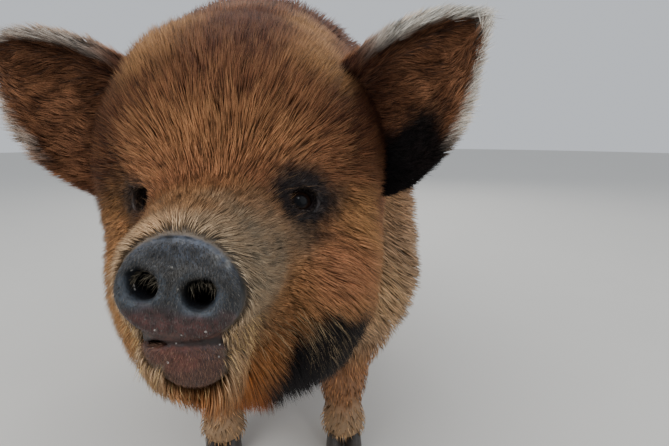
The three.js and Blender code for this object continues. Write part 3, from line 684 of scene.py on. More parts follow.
# the head's patches in three layers: colour, share, and an oval's middle, radii and edge in the head's frame
patches = {
    "under": (
        ("plum", 0.95, (3, 20, 96), (22, 92, 46), 0.45),  # the middle of the crown
        ("maroon", 0.85, (-48, -10, 62), (34, 42, 22), 0.5),  # temples
        ("maroon", 0.9, (60, 14, 64), (34, 48, 26), 0.5),
        ("umber", 0.55, (62, 16, 46), (20, 28, 34), 0.5),  # below the ears' roots
        ("umber", 0.55, (-62, 16, 46), (20, 28, 34), 0.5),
        ("umber", 0.92, (-58, -4, 34), (24, 30, 26), 0.45),  # behind the right eye
        ("golden", 0.15, (-4, -36, 38), (38, 20, 12), 0.6),  # brow
        ("golden", 0.55, (54, 4, -28), (28, 44, 34), 0.7),  # cheeks
        ("golden", 0.6, (61, 4, 8), (9, 16, 15), 0.6),
        ("rust", 0.6, (50, -10, -20), (20, 24, 16), 0.6),
        ("golden", 0.8, (-50, -26, -34), (32, 42, 42), 0.6),
    ),
    "over": (
        ("umber", 0.75, (-38, -40, 2), (17, 22, 12), 0.6),  # before, behind and below the right eye
        ("golden", 0.4, (-64, 0, 6), (10, 16, 14), 0.5),
        ("umber", 0.5, (-43, -27, -5), (10, 14, 9), 0.5),
        ("greyGreen", 0.6, (23, -70, -8), (20, 28, 22), 0.6),  # beside the disc and below the left eye
        ("greyGreen", 0.55, (31, -34, -3), (13, 16, 10), 0.6),
        ("umber", 0.55, (24, -60, -46), (14, 24, 13), 0.6),  # left corner of the mouth
        ("golden", 0.75, (2, -50, -64), (42, 50, 15), 0.5),  # chin and throat
        ("orange", 0.97, (4, -48, -78), (48, 62, 29), 0.45),
        ("soot", 0.97, (34, -23, 15), (23, 28, 14.5), 0.3),  # round the eyes
        ("soot", 0.5, (43, -21, -2.5), (9, 11, 5), 0.4),
        ("soot", 0.85, (-39, -19, 15), (13, 16, 12), 0.4),
    ),
    "bands": (
        ("golden", 0.6, (41, 2, 85), (15, 30, 17), 0.85),  # two bands up the crown
        ("golden", 0.66, (30, 52, 117), (14, 40, 19), 0.85),
        ("golden", 0.5, (-37, -6, 76), (13, 22, 15), 0.85),
        ("golden", 0.62, (-37, 20, 94), (15, 32, 18), 0.85),
    ),
}


def layPatches(c, q, layer, noise):
    ovals = ((colour, share * spot(q, *oval, noise)) for colour, share, *oval in patches[layer])
    return overlay(c, coatColours, ovals)


def coatColour(p):
    # the markings, from place alone, for skin and hair alike: layers of colour, each with its share
    q = toHead(p).astype(np.float64)
    x, height = (p - shift)[:, 0].astype(np.float64), p[:, 2]
    rough, broad, fine = ripple(p, 24, 11), ripple(p, 80, 12), ripple(p, 7, 13)
    onHead = fade(q[:, 1], 40, 110)
    body = 1 - onHead
    c = np.tile(np.array(coatColours["ginger"]), (len(p), 1))
    c = overlay(c, coatColours, (
        ("chestnut", 0.3 + 0.2 * rough),
        ("golden", body * np.clip(0.55 + 0.35 * broad, 0, 1) * fade(height, 290, 350)),
        ("cream", body * 0.42 * fade(height, 220, 330)),
        ("plum", body * 0.9 * smoothStep(height - 0.25 * np.abs(x + 10) + 8 * rough, 318, 372)),
        ("sienna", 0.8 * fade(height + 8 * rough, 84, 140)),
        ("tan", 0.8 * fade(height + 6 * rough, 30, 66)),
        ("chestnut", onHead * 0.8 * smoothStep(q[:, 2], 24, 50)),
    ))
    c = layPatches(c, q, "under", rough)
    # the muzzle's cream fades out sideways, and sooner upwards and to the right side
    away = q - discOrigin
    across, along = np.where(away[:, 0] < 0, 1.5, 0.92), np.where(away[:, 2] > 0, 1.7, 0.9)
    far = np.linalg.norm(away * np.stack([across, np.ones(len(q)), along], 1), axis=1)
    golden, cream = 0.6 * fade(far + 9 * rough, 46, 90), 0.66 * fade(far + 8 * rough, 26, 68)
    c = overlay(c, coatColours, (("golden", golden), ("cream", cream)))
    c = layPatches(c, q, "over", rough)
    c = c * (1 - 0.14 * onHead * smoothStep(q[:, 2], 30, 64))[:, None]
    c = layPatches(c, q, "bands", 2 * rough)
    # the black patch of the left jaw, below a line that rises backwards
    edge = np.interp(q[:, 0], (9, 18, 27, 42, 70), (-64, -56, -51, -41, -38))
    jaw = smoothStep(q[:, 0] + 3 * rough, 9, 18) * smoothStep(edge - q[:, 2] + 3.5 * rough, -3.5, 3.5)
    c = mixColour(c, coatColours["blueBlack"], 0.98 * jaw * fade(q[:, 1], 30, 50))
    return single(c * (1 + 0.1 * fine + 0.08 * rough)[:, None])


def earInner(normals):
    # 1 on the hollow side, which faces forward and out
    return smoothStep(-(normals @ headTurning)[:, 1], -0.1, 0.25)


def earColour(u, v, side, normals, p):
    # brown inside with a darker upper edge, ginger outside, silver rims, a black lower lobe on the left ear
    inner = earInner(normals)
    rough, fine = ripple(p, 20, 71), ripple(p, 6, 72)
    rootward = u + 0.05 * rough
    layers = [
        ("chestnut", 0.5 + 0.3 * rough),
        ("umber", inner * np.clip(0.3 + 0.2 * rough, 0, 1)),
        ("umber", 0.7 * inner * fade(v, -0.85, -0.6)),
        ("maroon", 0.8 * fade(rootward, 0.2, 0.55) * inner),
        ("black", 0.6 * fade(rootward, 0.02, 0.25) * inner),
    ]
    if side > 0:
        lobe = smoothStep(v + 0.12 * rough, 0.15, 0.5) * fade(rootward, 0.5, 0.68)
        layers.append(("black", 0.97 * lobe))
        layers.append(("silver", 0.6 * (1 - inner) * smoothStep(u + 0.06 * rough, 0.45, 0.95)))
    rim = smoothStep(-v + 0.04 * rough, 0.86, 0.97) + smoothStep(u, 0.93, 0.98)
    rim = np.minimum(rim + smoothStep(v, 0.9, 0.99) * smoothStep(u, 0.5, 0.68), 1)
    layers.append(("silver", (0.8 if side > 0 else 0.4) * rim * smoothStep(u, 0.15, 0.5)))
    c = overlay(np.tile(np.array(coatColours["ginger"]), (len(u), 1)), coatColours, layers)
    c = c * mixIn(np.ones(3), np.array([0.9, 0.95, 1.02]), inner[:, None])
    return single(c * (1 + 0.12 * fine)[:, None])


def bareShare(p):
    # 1 on the hairless skin: disc, lips and lid rims
    q = toHead(p)
    d = toDisc(q)
    side, _ = discSide(d)
    disc = fade(side, -0.2, 0.8) * fade(d[:, 1], 2.5, 5)
    hole, _ = nostrilGap(d)
    disc = np.maximum(disc, fade(hole, 1.0, 3.0) * (d[:, 1] < 24))
    lips = (((4.0, -82, -47.5), (12.6, 14, 11.2)), ((-8.2, -82, -42.6), (8.4, 14, 6.6)))
    far = [np.linalg.norm((q - np.array(middle)) / np.array(radii), axis=1) for middle, radii in lips]
    lip = fade(np.minimum(*far), 0.86, 1.04)
    seam = fade(np.abs(q[:, 2] + 39.5), 3, 4.5) * fade(np.abs(q[:, 0] + 0.5), 15, 18)
    lip = np.maximum(lip, seam * (q[:, 1] < -60))
    e = (mirrored(q) - eyeOrigin) @ eyeTurning
    rim = fade(np.hypot(e[:, 0] / 8.6, e[:, 1] / 6.6), 0.85, 1.1) * (np.abs(e[:, 2]) < 16)
    return np.maximum(np.maximum(disc, lip), rim), disc, lip, rim


# Materials

# grain: the noise's scale and strength; rough: lowest and highest; bump: strength and height in metres
surfaceLooks = {
    "skin": {"grain": (260.0, 0.22), "rough": (0.5, 0.8), "damp": (0.4, 0.62), "bump": (0.5, 0.0006)},
    "hair": {"grain": (700.0, 0.18), "rough": (0.5, 0.72), "bump": (0.15, 0.0002)},
    "eye": {"grain": (900.0, 0.35), "rough": (0.16, 0.26), "bump": (0.04, 0.0001)},
    "horn": {"grain": (420.0, 0.3), "rough": (0.3, 0.55), "bump": (0.4, 0.0006)},
    "floor": {"grain": (1.5, 0.02), "rough": (0.6, 0.75)},
}
hornColours = {"dark": (0.02, 0.017, 0.015), "light": (0.07, 0.055, 0.045)}


def feed(tree, node, values):
    # gives each input a number or colour, or links it to another node's output
    for name, value in values.items():
        socket = node.inputs[name]
        if isinstance(value, bpy.types.NodeSocket):
            tree.links.new(value, socket)
        else:
            socket.default_value = (*value, 1) if socket.type == "RGBA" else value
    return node


def addNode(tree, kind, values):
    return feed(tree, tree.nodes.new("ShaderNode" + kind), values)


def mathNode(tree, operation, a, b):
    node = addNode(tree, "Math", {0: a, 1: b})
    node.operation = operation
    return node.outputs[0]


def times(tree, a, b):
    return mathNode(tree, "MULTIPLY", a, b)


def mixNode(tree, share, a, b):
    node = tree.nodes.new("ShaderNodeMix")
    node.data_type = "RGBA"
    return feed(tree, node, {0: share, 6: a, 7: b}).outputs[2]


def noiseNode(tree, place, scale, detail=3.0):
    return addNode(tree, "TexNoise", {"Vector": place, "Scale": scale, "Detail": detail}).outputs[0]


def rangeNode(tree, value, low, high, first=0.0, last=1.0):
    return addNode(tree, "MapRange", {0: value, 1: low, 2: high, 3: first, 4: last}).outputs[0]


def makeMottle():
    # grain: the colour is darkened and lightened by two sizes of noise; height is their sum
    group = bpy.data.node_groups.new("mottle", "ShaderNodeTree")
    for label, kind, value in (
        ("Color", "Color", (0.5, 0.5, 0.5, 1)), ("Scale", "Float", 200.0), ("Amount", "Float", 0.3),
        ("Low", "Float", 0.4), ("High", "Float", 0.7),
    ):
        socket = group.interface.new_socket(label, in_out="INPUT", socket_type="NodeSocket" + kind)
        socket.default_value = value
    for label, kind in (("Color", "Color"), ("Roughness", "Float"), ("Height", "Float")):
        group.interface.new_socket(label, in_out="OUTPUT", socket_type="NodeSocket" + kind)
    given = group.nodes.new("NodeGroupInput").outputs
    result = group.nodes.new("NodeGroupOutput")
    place = group.nodes.new("ShaderNodeTexCoord").outputs["Object"]
    broad = noiseNode(group, place, given["Scale"])
    fine = noiseNode(group, place, times(group, given["Scale"], 5.3), 2.0)
    broad, fine = times(group, broad, 0.6), times(group, fine, 0.4)
    total = mathNode(group, "ADD", broad, fine)
    spread = rangeNode(group, total, 0.3, 0.7, -1.0, 1.0)
    shade = group.nodes.new("ShaderNodeVectorMath")
    shade.operation = "SCALE"
    factor = mathNode(group, "ADD", 1.0, times(group, spread, given["Amount"]))
    feed(group, shade, {0: given["Color"], "Scale": factor})
    rough = rangeNode(group, total, 0.3, 0.7, given["Low"], given["High"])
    feed(group, result, {"Color": shade.outputs[0], "Roughness": rough, "Height": total})
    return group


mottle = makeMottle()


def startMaterial(name):
    material = bpy.data.materials.new(name)
    material.use_nodes = True
    tree = material.node_tree
    return material, tree, tree.nodes["Principled BSDF"]


def placeMottle(tree, colour, look):
    node = tree.nodes.new("ShaderNodeGroup")
    node.node_tree = mottle
    values = zip(("Color", "Scale", "Amount", "Low", "High"), (colour, *look["grain"], *look["rough"]))
    return feed(tree, node, dict(values)).outputs


def mottleOver(tree, shader, colour, look):
    # the mottled colour and roughness straight into the surface
    grain = placeMottle(tree, colour, look)
    feed(tree, shader, {"Base Color": grain["Color"], "Roughness": grain["Roughness"]})
    return grain["Height"]


def attributeOf(tree, name, socket="Color"):
    node = tree.nodes.new("ShaderNodeAttribute")
    node.attribute_name = name
    return node.outputs[socket]


def bumpInto(tree, shader, height, look):
    strength, distance = look["bump"]
    bump = addNode(tree, "Bump", {"Strength": strength, "Distance": distance, "Height": height})
    tree.links.new(bump.outputs[0], shader.inputs["Normal"])


def makeSkin(name, shine):
    # painted colour, finely mottled; bare skin is pored, damp, blotched, specked and strewn with pale grains
    material, tree, shader = startMaterial(name)
    look = surfaceLooks["skin"]
    grain = placeMottle(tree, attributeOf(tree, "tint"), look)
    bare = attributeOf(tree, "bare", "Fac")
    place = tree.nodes.new("ShaderNodeTexCoord").outputs["Object"]
    grains = addNode(tree, "TexVoronoi", {"Vector": place, "Scale": 330.0}).outputs
    chosen = rangeNode(tree, addNode(tree, "SeparateColor", {0: grains["Color"]}).outputs[0], 0.7, 0.72)
    colour = grain["Color"]
    for share, amount, tone in (
        (rangeNode(tree, noiseNode(tree, place, 330.0), 0.42, 0.62), 0.5, (0.004, 0.004, 0.005)),
        (rangeNode(tree, noiseNode(tree, place, 620.0, 1.0), 0.66, 0.7), 0.55, (0.004, 0.003, 0.003)),
        (times(tree, rangeNode(tree, grains["Distance"], 0.13, 0.2, 1.0, 0.0), chosen), 0.8,
         (0.42, 0.40, 0.37)),
    ):
        share = times(tree, times(tree, share, bare), amount)
        colour = mixNode(tree, share, colour, tone)
    damp = rangeNode(tree, noiseNode(tree, place, 170.0), 0.35, 0.65, *look["damp"])
    feed(tree, shader, {
        "Base Color": colour,
        "Roughness": addNode(tree, "Mix", {0: bare, 2: grain["Roughness"], 3: damp}).outputs[0],
        "Specular IOR Level": shine,
        "Subsurface Weight": 0.04,
        "Subsurface Radius": (0.004, 0.0015, 0.001),
        "Subsurface Scale": 0.6,
    })
    pores = addNode(tree, "TexVoronoi", {"Vector": place, "Scale": 900.0}).outputs["Distance"]
    pore = times(tree, rangeNode(tree, pores, 0.0, 0.6), 0.35)
    bumpInto(tree, shader, mathNode(tree, "ADD", pore, noiseNode(tree, place, 420.0, 4.0)), look)
    return material


def makeHair():
    # each hair's own colour, with painted shade towards the root and a little grain
    material, tree, shader = startMaterial("gingerHair")
    look = surfaceLooks["hair"]
    height = mottleOver(tree, shader, attributeOf(tree, "tint"), look)
    feed(tree, shader, {"Specular IOR Level": 0.12})
    bumpInto(tree, shader, height, look)
    return material


skinMaterial = makeSkin("pigSkin", 0.45)
lidMaterial = makeSkin("lidSkin", 0.02)
hairMaterial = makeHair()
print("materials made")

# The skin, ears and tail as one piece

bareColours = {
    "slate": (0.018, 0.022, 0.028),
    "rimBlue": (0.050, 0.066, 0.086),
    "slateTop": (0.060, 0.072, 0.098),
    "pink": (0.070, 0.019, 0.013),
    "lip": (0.132, 0.042, 0.029),
    "mud": (0.020, 0.017, 0.012),
    "scurf": (0.17, 0.17, 0.165),
    "lipDark": (0.052, 0.026, 0.02),
    "mouth": (0.014, 0.006, 0.005),
    "hollow": (0.005, 0.004, 0.005),
    "lid": (0.011, 0.008, 0.008),
    "muzzle": (0.11, 0.09, 0.07),
}


def discColour(p, d, rough):
    # slate, paler above and pink below, with mud, scurf, a pale ring round each nostril and dark inside it
    c = np.tile(single(bareColours["slate"]), (len(p), 1))
    c = overlay(c, bareColours, (
        ("slateTop", smoothStep(d[:, 2] + 2 * rough, 6, 16)),
        ("pink", 0.85 * fade(d[:, 2] + 2.2 * rough, -12.5, -5)),
    ))
    c = c * np.clip(1 + 0.4 * ripple(p, 12, 22) + 0.3 * ripple(p, 4.5, 23), 0.35, 1.9)[:, None]
    mud = spot(d, (3, 0, 3.5), (15, 9, 6.5), 0.5, rough) * np.clip(0.62 + 0.5 * ripple(p, 6, 24), 0, 1)
    scurf = spot(d, (15.5, 1, 12.5), (9.5, 6, 3.6), 0.5, rough)
    scurf = scurf * np.clip(0.4 + 0.8 * ripple(p, 3.2, 25), 0, 1)
    hole, around = nostrilGap(d)
    glow = bell(around, 8.0, 1.7) * (0.5 + 0.5 * smoothStep(-d[:, 2], -8, 4))
    glow = glow * np.clip(0.7 + 0.5 * rough, 0, 1) * smoothStep(d[:, 2], -12, -6)
    deep = fade(hole, -0.6, 0.8) * smoothStep(d[:, 1], -3.6, 0.5)
    layers = (("mud", mud), ("scurf", scurf), ("rimBlue", 0.85 * glow), ("hollow", deep))
    return overlay(c, bareColours, layers)


def skinColour(p):
    # the coat's markings, deepened, with the bare disc, lips and lids laid over them
    q = toHead(p)
    rough = ripple(p, 9, 21)
    bare, disc, lip, rim = bareShare(p)
    far = farFrom(q, discOrigin)
    c = mixColour(coatColour(p) * 0.62, bareColours["muzzle"], 0.85 * fade(far, 36, 74))
    c = mixColour(c, discColour(p, toDisc(q), rough), disc)
    under = np.tile(single(bareColours["lip"]), (len(p), 1)) * (1 + 0.3 * rough[:, None])
    fromMiddle = np.hypot((q[:, 0] + 1) / 12, (q[:, 2] + 45) / 9)
    under = mixColour(under, bareColours["lipDark"], 0.8 * smoothStep(fromMiddle + 0.2 * rough, 0.4, 1.1))
    c = mixColour(c, under, lip)
    inside = smoothStep(q[:, 1], -94.5, -91.5) * fade(q[:, 1], -50, -40)
    inside = inside * fade(np.abs(q[:, 2] + 39.6), 0.9, 1.9)
    return overlay(c, bareColours, (("mouth", 0.9 * inside * lip), ("lid", rim))), bare


skinPoints, skinQuads = meshField()
skinGround = asGround(skinPoints, [skinQuads])
print("skin meshed,", len(skinQuads), "quads")

parts = [(skinPoints, [skinQuads], *skinColour(skinPoints))]
earGrounds = {}
for side, word in bothSides:
    points, faceSets = earSurface(side)
    earGrounds[side] = asGround(points, faceSets)
    tint = earColour(*earPlaces(), side, earGrounds[side][1], points) * 0.55
    parts.append((points, faceSets, tint, np.zeros(len(points))))
points, faceSets = tailSurface()
tailGround = asGround(points, faceSets)
parts.append((points, faceSets, coatColour(points) * 0.5, np.zeros(len(points))))
points, faceSets, tint, bare = zip(*parts)
starts = np.cumsum([0] + [len(rows) for rows in points])
faceSets = [faces + start for start, sets in zip(starts, faceSets) for faces in sets]
skinMesh = fillMesh("skin", np.concatenate(points), faceSets)
paint(skinMesh, "tint", np.concatenate(tint))
paint(skinMesh, "bare", np.concatenate(bare))
addPiece("skin", skinMesh, skinMaterial, (
    "head", "neck", "torso", "tail", "snout_disc", "ear_left", "ear_right",
    "leg_front_left", "leg_front_right", "leg_hind_left", "leg_hind_right",
))
print("skin built,", len(skinMesh.vertices), "points")

# Eyes and lids

eyeLooks = {
    "pupil": (0.003, 0.003, 0.004),
    "iris": (0.012, 0.006, 0.004),
    "white": (0.016, 0.011, 0.010),
    "halfWidth": 7.2,
    "upper": 4.9,
    "lower": 4.0,
}


def placeEye(e, side):
    # from the eye's own frame (across, up, out) to the shared one
    q = e @ eyeTurning.astype(np.float64).T + eyeOrigin
    return fromHead(single(q * np.array([side, 1, 1])))


def eyeSurface(side):
    # a ball whose front swells a little, from the middle of the pupil to the back
    rings, sides = 48, 64
    fall = np.linspace(0, math.pi, rings + 2)[1:-1][:, None, None]
    turn = circle(sides)[None, :, None]
    reach = 0.985 + 0.05 * bell(fall, 0, 0.5)
    around = [np.sin(fall) * np.cos(turn), np.sin(fall) * np.sin(turn), np.cos(fall) + 0 * turn]
    poles = [[0, 0, 1.035], [0, 0, -0.985]]
    e = np.concatenate([(np.concatenate(around, -1) * reach).reshape(-1, 3), poles]) * eyeShape["radius"]
    away = np.arctan2(np.hypot(e[:, 0] * 0.8, e[:, 1]), e[:, 2])
    layers = (("iris", smoothStep(away, 0.24, 0.3)), ("white", smoothStep(away, 0.66, 0.8)))
    c = overlay(np.tile(np.array(eyeLooks["pupil"]), (len(e), 1)), eyeLooks, layers)
    return *outward(placeEye(e, side), closedRings(rings, sides)), c


def lidSurface(side):
    # a closed ring: from the lid's margin on the eyeball over two folds down into the skin, and back beneath
    turns, steps = 120, 26
    t = circle(turns)[:, None]
    s = np.linspace(0, 1, steps)[None, :]
    rise = np.where(np.sin(t) > 0, eyeLooks["upper"], eyeLooks["lower"])
    x = eyeLooks["halfWidth"] * np.cos(t) * (1 + 0.85 * s)
    y = rise * np.sin(t) * np.sqrt(np.abs(np.sin(t)) + 0.15) * (1 + 1.15 * s) + 1.8 * s * np.sin(t)
    flat = np.stack([x, y, np.sqrt(np.maximum(11.6**2 - x**2 - y**2, 1.0))], -1)
    skinAt = settle(placeEye(flat.reshape(-1, 3), side), skinField, 8)
    q = toHead(skinAt) * np.array([side, 1, 1])
    onSkin = ((q - eyeOrigin) @ eyeTurning).reshape(turns, steps, 3)
    e = mixIn(flat, onSkin, smoothStep(s, 0.04, 0.5)[..., None])
    out = unit(e + np.array([0, 0, 6.0]))
    upper = np.clip(np.sin(t), 0, 1)
    fold = 0.45 * bell(s, 0.12, 0.1) + (0.15 + 0.35 * upper) * bell(s, 0.5, 0.12)
    crease = 0.14 * np.sin(s * 46 + 1.5 * np.sin(t * 3)) * smoothStep(s, 0.2, 0.4)
    e = e + out * (0.25 + fold + crease - 1.2 * smoothStep(s, 0.8, 1))[..., None]
    under = e[:, ::-1] - out[:, ::-1] * 1.3
    under[:, -1] = e[:, 0] - out[:, 0] * 0.6
    points = placeEye(np.concatenate([e, under], 1).reshape(-1, 3), side)
    return outward(points, [ringFaces(turns, steps * 2, True)])


def makeEye():
    # painted iris and pupil, finely grained, under a wet clear coat
    material, tree, shader = startMaterial("wetEye")
    look = surfaceLooks["eye"]
    height = mottleOver(tree, shader, attributeOf(tree, "tint"), look)
    feed(tree, shader, {"Coat Weight": 0.1, "Specular IOR Level": 0.05, "Coat Roughness": 0.03})
    bumpInto(tree, shader, height, look)
    return material


eyeMaterial = makeEye()
lidGrounds = {}
for side, word in bothSides:
    points, faceSets, tint = eyeSurface(side)
    eyeMesh = fillMesh("eyeball_" + word, points, faceSets)
    paint(eyeMesh, "tint", tint)
    addPiece("eyeball_" + word, eyeMesh, eyeMaterial, ("eye_" + word,))
    points, faceSets = lidSurface(side)
    lidMesh = fillMesh("eyelid_" + word, points, faceSets)
    paint(lidMesh, "tint", np.array(bareColours["lid"]) * (1 + 0.3 * ripple(points, 5, 81)[:, None]))
    paint(lidMesh, "bare", np.full(len(points), 0.12))
    lidGrounds[side] = asGround(points, faceSets)
    addPiece("eyelid_" + word, lidMesh, lidMaterial)
print("eyes and lids built")

# Hooves: horny toes and dewclaws

toeShape = {"halfWidth": 8.6, "front": 19, "back": 17, "feet": ((61, -118, -97), (61, 222, 246))}


def toeSurface(foot, side, inner):
    # rings of a pointed oval from the ground to under the hair, the front wall sloping back, ridged
    rings, sides = 26, 44
    z = np.linspace(0, 1, rings)[:, None] * 25
    turn = circle(sides)[None, :]
    y = np.sin(turn)
    share = np.interp(z, (0, 0.8, 2.4, 14, 26), (0.9, 0.97, 1.0, 0.88, 0.74))
    share = share * (1 + 0.008 * np.sin(z * 3.1 + np.cos(turn) * 1.5))
    across = toeShape["halfWidth"] * share * np.cos(turn) * (1 - 0.22 * np.maximum(-y, 0) ** 2)
    along = y * np.where(y < 0, toeShape["front"] * share - z * 0.231, toeShape["back"] * share)
    flip = -side if inner else side
    points = np.stack([across, along, z + 0 * turn], -1).reshape(-1, 3) @ turning(2, 5 * flip).T
    x = foot[0] * side + flip * (toeShape["halfWidth"] + 0.9)
    points = points + np.array([x, foot[1] - 4, 0]) + shift
    poles = np.stack([points[:sides].mean(0), points[-sides:].mean(0) + np.array([0, 0, 0.5])])
    return outward(np.concatenate([points, poles]), closedRings(rings, sides))


def clawSurface(foot, side, inner):
    # a blunt little horn behind the pastern
    x = foot[0] * side + (-side if inner else side) * 9
    t = np.linspace(0, 1, 18)[:, None]
    start, end = np.array([x, foot[2] - 5, 39]), np.array([x * 1.01, foot[2] + 12.5, 24.5])
    radii = 5.4 * np.sqrt(np.clip(1.04 - t[:, 0] ** 2.4, 0.03, 1))
    return tubeSurface(start + (end - start) * t + shift, radii, 24)


def makeHorn():
    # dark horn in fine bands up the wall, scuffed and paler towards the ground
    material, tree, shader = startMaterial("hoofHorn")
    look = surfaceLooks["horn"]
    place = tree.nodes.new("ShaderNodeTexCoord").outputs["Object"]
    stretched = addNode(tree, "Mapping", {"Vector": place, "Scale": (60, 60, 900)}).outputs[0]
    bands = noiseNode(tree, stretched, 1.0)
    height = addNode(tree, "SeparateXYZ", {0: place}).outputs[2]
    low = rangeNode(tree, height, 0.0, 0.016, 0.75, 0.0)
    share = mathNode(tree, "ADD", times(tree, bands, 0.5), low)
    colour = mixNode(tree, share, hornColours["dark"], hornColours["light"])
    grain = mottleOver(tree, shader, colour, look)
    bumpInto(tree, shader, mathNode(tree, "ADD", bands, times(tree, grain, 0.4)), look)
    return material


hornMaterial = makeHorn()
for end, foot in zip(("front", "hind"), toeShape["feet"]):
    for side, word in bothSides:
        for place in ("inner", "outer"):
            for kind, node, surface in (("toe", "hoof", toeSurface), ("claw", "dewclaw", clawSurface)):
                name = f"{kind}_{end}_{word}_{place}"
                hoofMesh = fillMesh(name, *surface(foot, side, place == "inner"))
                addPiece(name, hoofMesh, hornMaterial, (f"{node}_{end}_{word}_{place}",))
print("hooves built")

# The coat: each tuft is a thin closed spindle from its root to its tip

coatCounts = {"head": 122000, "body": 64000, "legs": 11000, "tail": 3000, "ear": 21000, "bristles": 1500}


def sowRoots(ground, density, count, draw):
    # places on the triangles, spread by area times density
    points, normals, triangles = ground
    a, b, c = (points[triangles[:, i]] for i in range(3))
    area = np.linalg.norm(np.cross(b - a, c - a), axis=1) / 2
    total = np.cumsum(area * density[triangles].mean(1))
    pick = (np.arange(count) + draw.random(count)) / count * total[-1]
    face = np.minimum(np.searchsorted(total, pick), len(triangles) - 1)
    s, t = draw.random(count), draw.random(count)
    over = s + t > 1
    s, t = np.where(over, 1 - s, s), np.where(over, 1 - t, t)
    weights = np.stack([1 - s - t, s, t], 1)
    corners = triangles[face]
    roots = (points[corners] * weights[:, :, None]).sum(1)
    out = unit((normals[corners] * weights[:, :, None]).sum(1))
    return roots, out, corners, weights


def sowInRows(density, count, seed, key):
    # the same on the skin, put in order by a key of the place
    roots, out, _, _ = sowRoots(skinGround, density, count, np.random.default_rng(seed))
    order = np.argsort(key(roots))
    return roots[order], out[order]


def gather(roots, tips, size, share, seed):
    # tips whose roots share an uneven cell lean towards the cell's middle tip
    wobble = np.stack([ripple(roots, size * 2.5, seed + k) for k in range(3)], 1) * size * 0.6
    cells = np.floor((roots + wobble) / size).astype(np.int64) + 500
    _, which = np.unique(cells @ np.array([1, 2000, 4000000]), return_inverse=True)
    number = np.bincount(which)
    middle = np.stack([np.bincount(which, tips[:, k]) / number for k in range(3)], 1)
    return tips + (middle[which] - tips) * share, which


tuftShape = {
    "rise": (0.62, 1.0),  # heights and lengths differ between these shares
    "run": (0.7, 1.1),
    "sunk": 0.8,  # mm of root below the skin
    "bend": (0.75, 0.3),  # where the tuft bends, as shares of its rise and run
    "ring": (0.3, 0.5, 0.2),  # shares of root, bend and tip in the ring's middle
    # the next shares paint shade: darkest at the root, the ring's sides darker than its top, the tip paler
    "paintedShades": (0.25, 0.8, 0.98, 1.2),  # root, ring's sides, ring's top and tip
}
# corners of a tuft: 0 root, 1 to 3 the ring, 4 tip
tuftFaces = np.array([[0, 2, 1], [0, 3, 2], [0, 1, 3], [4, 1, 2], [4, 2, 3], [4, 3, 1]])
tuftPatch = np.array([[0, 0], [-1.1, 1.2], [1.1, 1.2], [0, 1.6], [0, 3]]) * 0.001


def unwrapHead(p):
    # turn about the head's length and angle from its nose, as on a globe
    q = toHead(p) - single([0, -10, 10])
    turn = np.arctan2(q[:, 0], q[:, 2]) / (2 * math.pi) + 0.5
    return np.stack([turn, np.arccos(np.clip(-unit(q)[:, 1], -1, 1)) / math.pi], 1)


def unwrapBody(p):
    # turn about the body's long axis, and the share of its length
    turn = np.arctan2(p[:, 0] - 4, p[:, 2] - 235) / (2 * math.pi) + 0.5
    return np.stack([turn, (p[:, 1] + 380) / 765], 1)


def growTufts(name, tufts, unwrap, size, share, seed, tipShare=0.25, tipColour="golden"):
    # root to tip along a bent line: rise is the tip's height off the skin, run its length along the lie
    roots, out, lie, rise, run, width, colour = tufts
    draw = np.random.default_rng(seed)
    n = len(roots)
    side = np.cross(lie, out)
    sway = 0.22 * ripple(roots, 22, seed + 5) + 0.16 * ripple(roots, 8, seed + 6)
    sway = sway + 0.14 * draw.normal(size=n)
    lie = unit(lie + side * sway[:, None])
    rise = rise * draw.uniform(*tuftShape["rise"], n)
    run = run * draw.uniform(*tuftShape["run"], n)
    tips = roots + out * rise[:, None] + lie * run[:, None]
    tips, clump = gather(roots, tips, size, share, seed + 7)
    base = roots - out * tuftShape["sunk"]
    high, far = tuftShape["bend"]
    bend = roots + out * (rise * high)[:, None] + lie * (run * far)[:, None]
    ring = sum(place * part for place, part in zip((base, bend, tips), tuftShape["ring"]))
    along = unit(tips - base)
    across = unit(np.cross(along, out))
    thick = np.cross(across, along)
    half = (width / 2)[:, None]
    left, right = (ring + way * half - thick * half * 0.4 for way in (across, -across))
    flat = np.stack([base, left, right, ring + thick * half * 0.7, tips], 1).reshape(-1, 3)
    faces = (np.arange(n)[:, None, None] * 5 + tuftFaces[None]).reshape(-1, 3)
    a, b, c = (flat[faces[:, i]] - np.repeat(base, 6, 0) for i in range(3))
    if (np.cross(a, b) * c).sum() < 0:
        faces = faces[:, ::-1]
    mesh = fillMesh(name, flat, [faces])
    clumpTone = draw.normal(size=clump.max() + 1)[clump]
    tone = (1.04 + 0.24 * clumpTone + 0.4 * draw.normal(size=n)).clip(0.2, 2.3)
    colour = colour * tone[:, None]
    pale = smoothStep(colour.mean(1), 0.012, 0.06) * tipShare * np.clip(1 + 0.7 * clumpTone, 0, 2)
    # painted shade: each tuft darkened at its root and along its ring's sides
    shadedRoot, shadedSides, atTop, atTip = (colour * shade for shade in tuftShape["paintedShades"])
    atTip = mixColour(atTip, coatColours[tipColour], pale)
    paint(mesh, "tint", np.stack([shadedRoot, shadedSides, shadedSides, atTop, atTip], 1).reshape(-1, 3))
    spots = (unwrap(roots)[:, None] * 0.996 + tuftPatch[None]).reshape(-1, 2)
    layer = mesh.uv_layers.new(name="OFBake")
    layer.data.foreach_set("uv", single(spots[faces.ravel()]).ravel())
    addPiece(name, mesh, hairMaterial)


def growParts(names, tufts, unwrap, sizes, share, seed, tipShares):
    # the tufts, in their order, in equal parts
    for k, part in enumerate(np.array_split(np.arange(len(tufts[0])), len(names))):
        rows = [values[part] for values in tufts]
        growTufts(names[k], rows, unwrap, sizes[k], share, seed + 10 * k, tipShares[k][part])


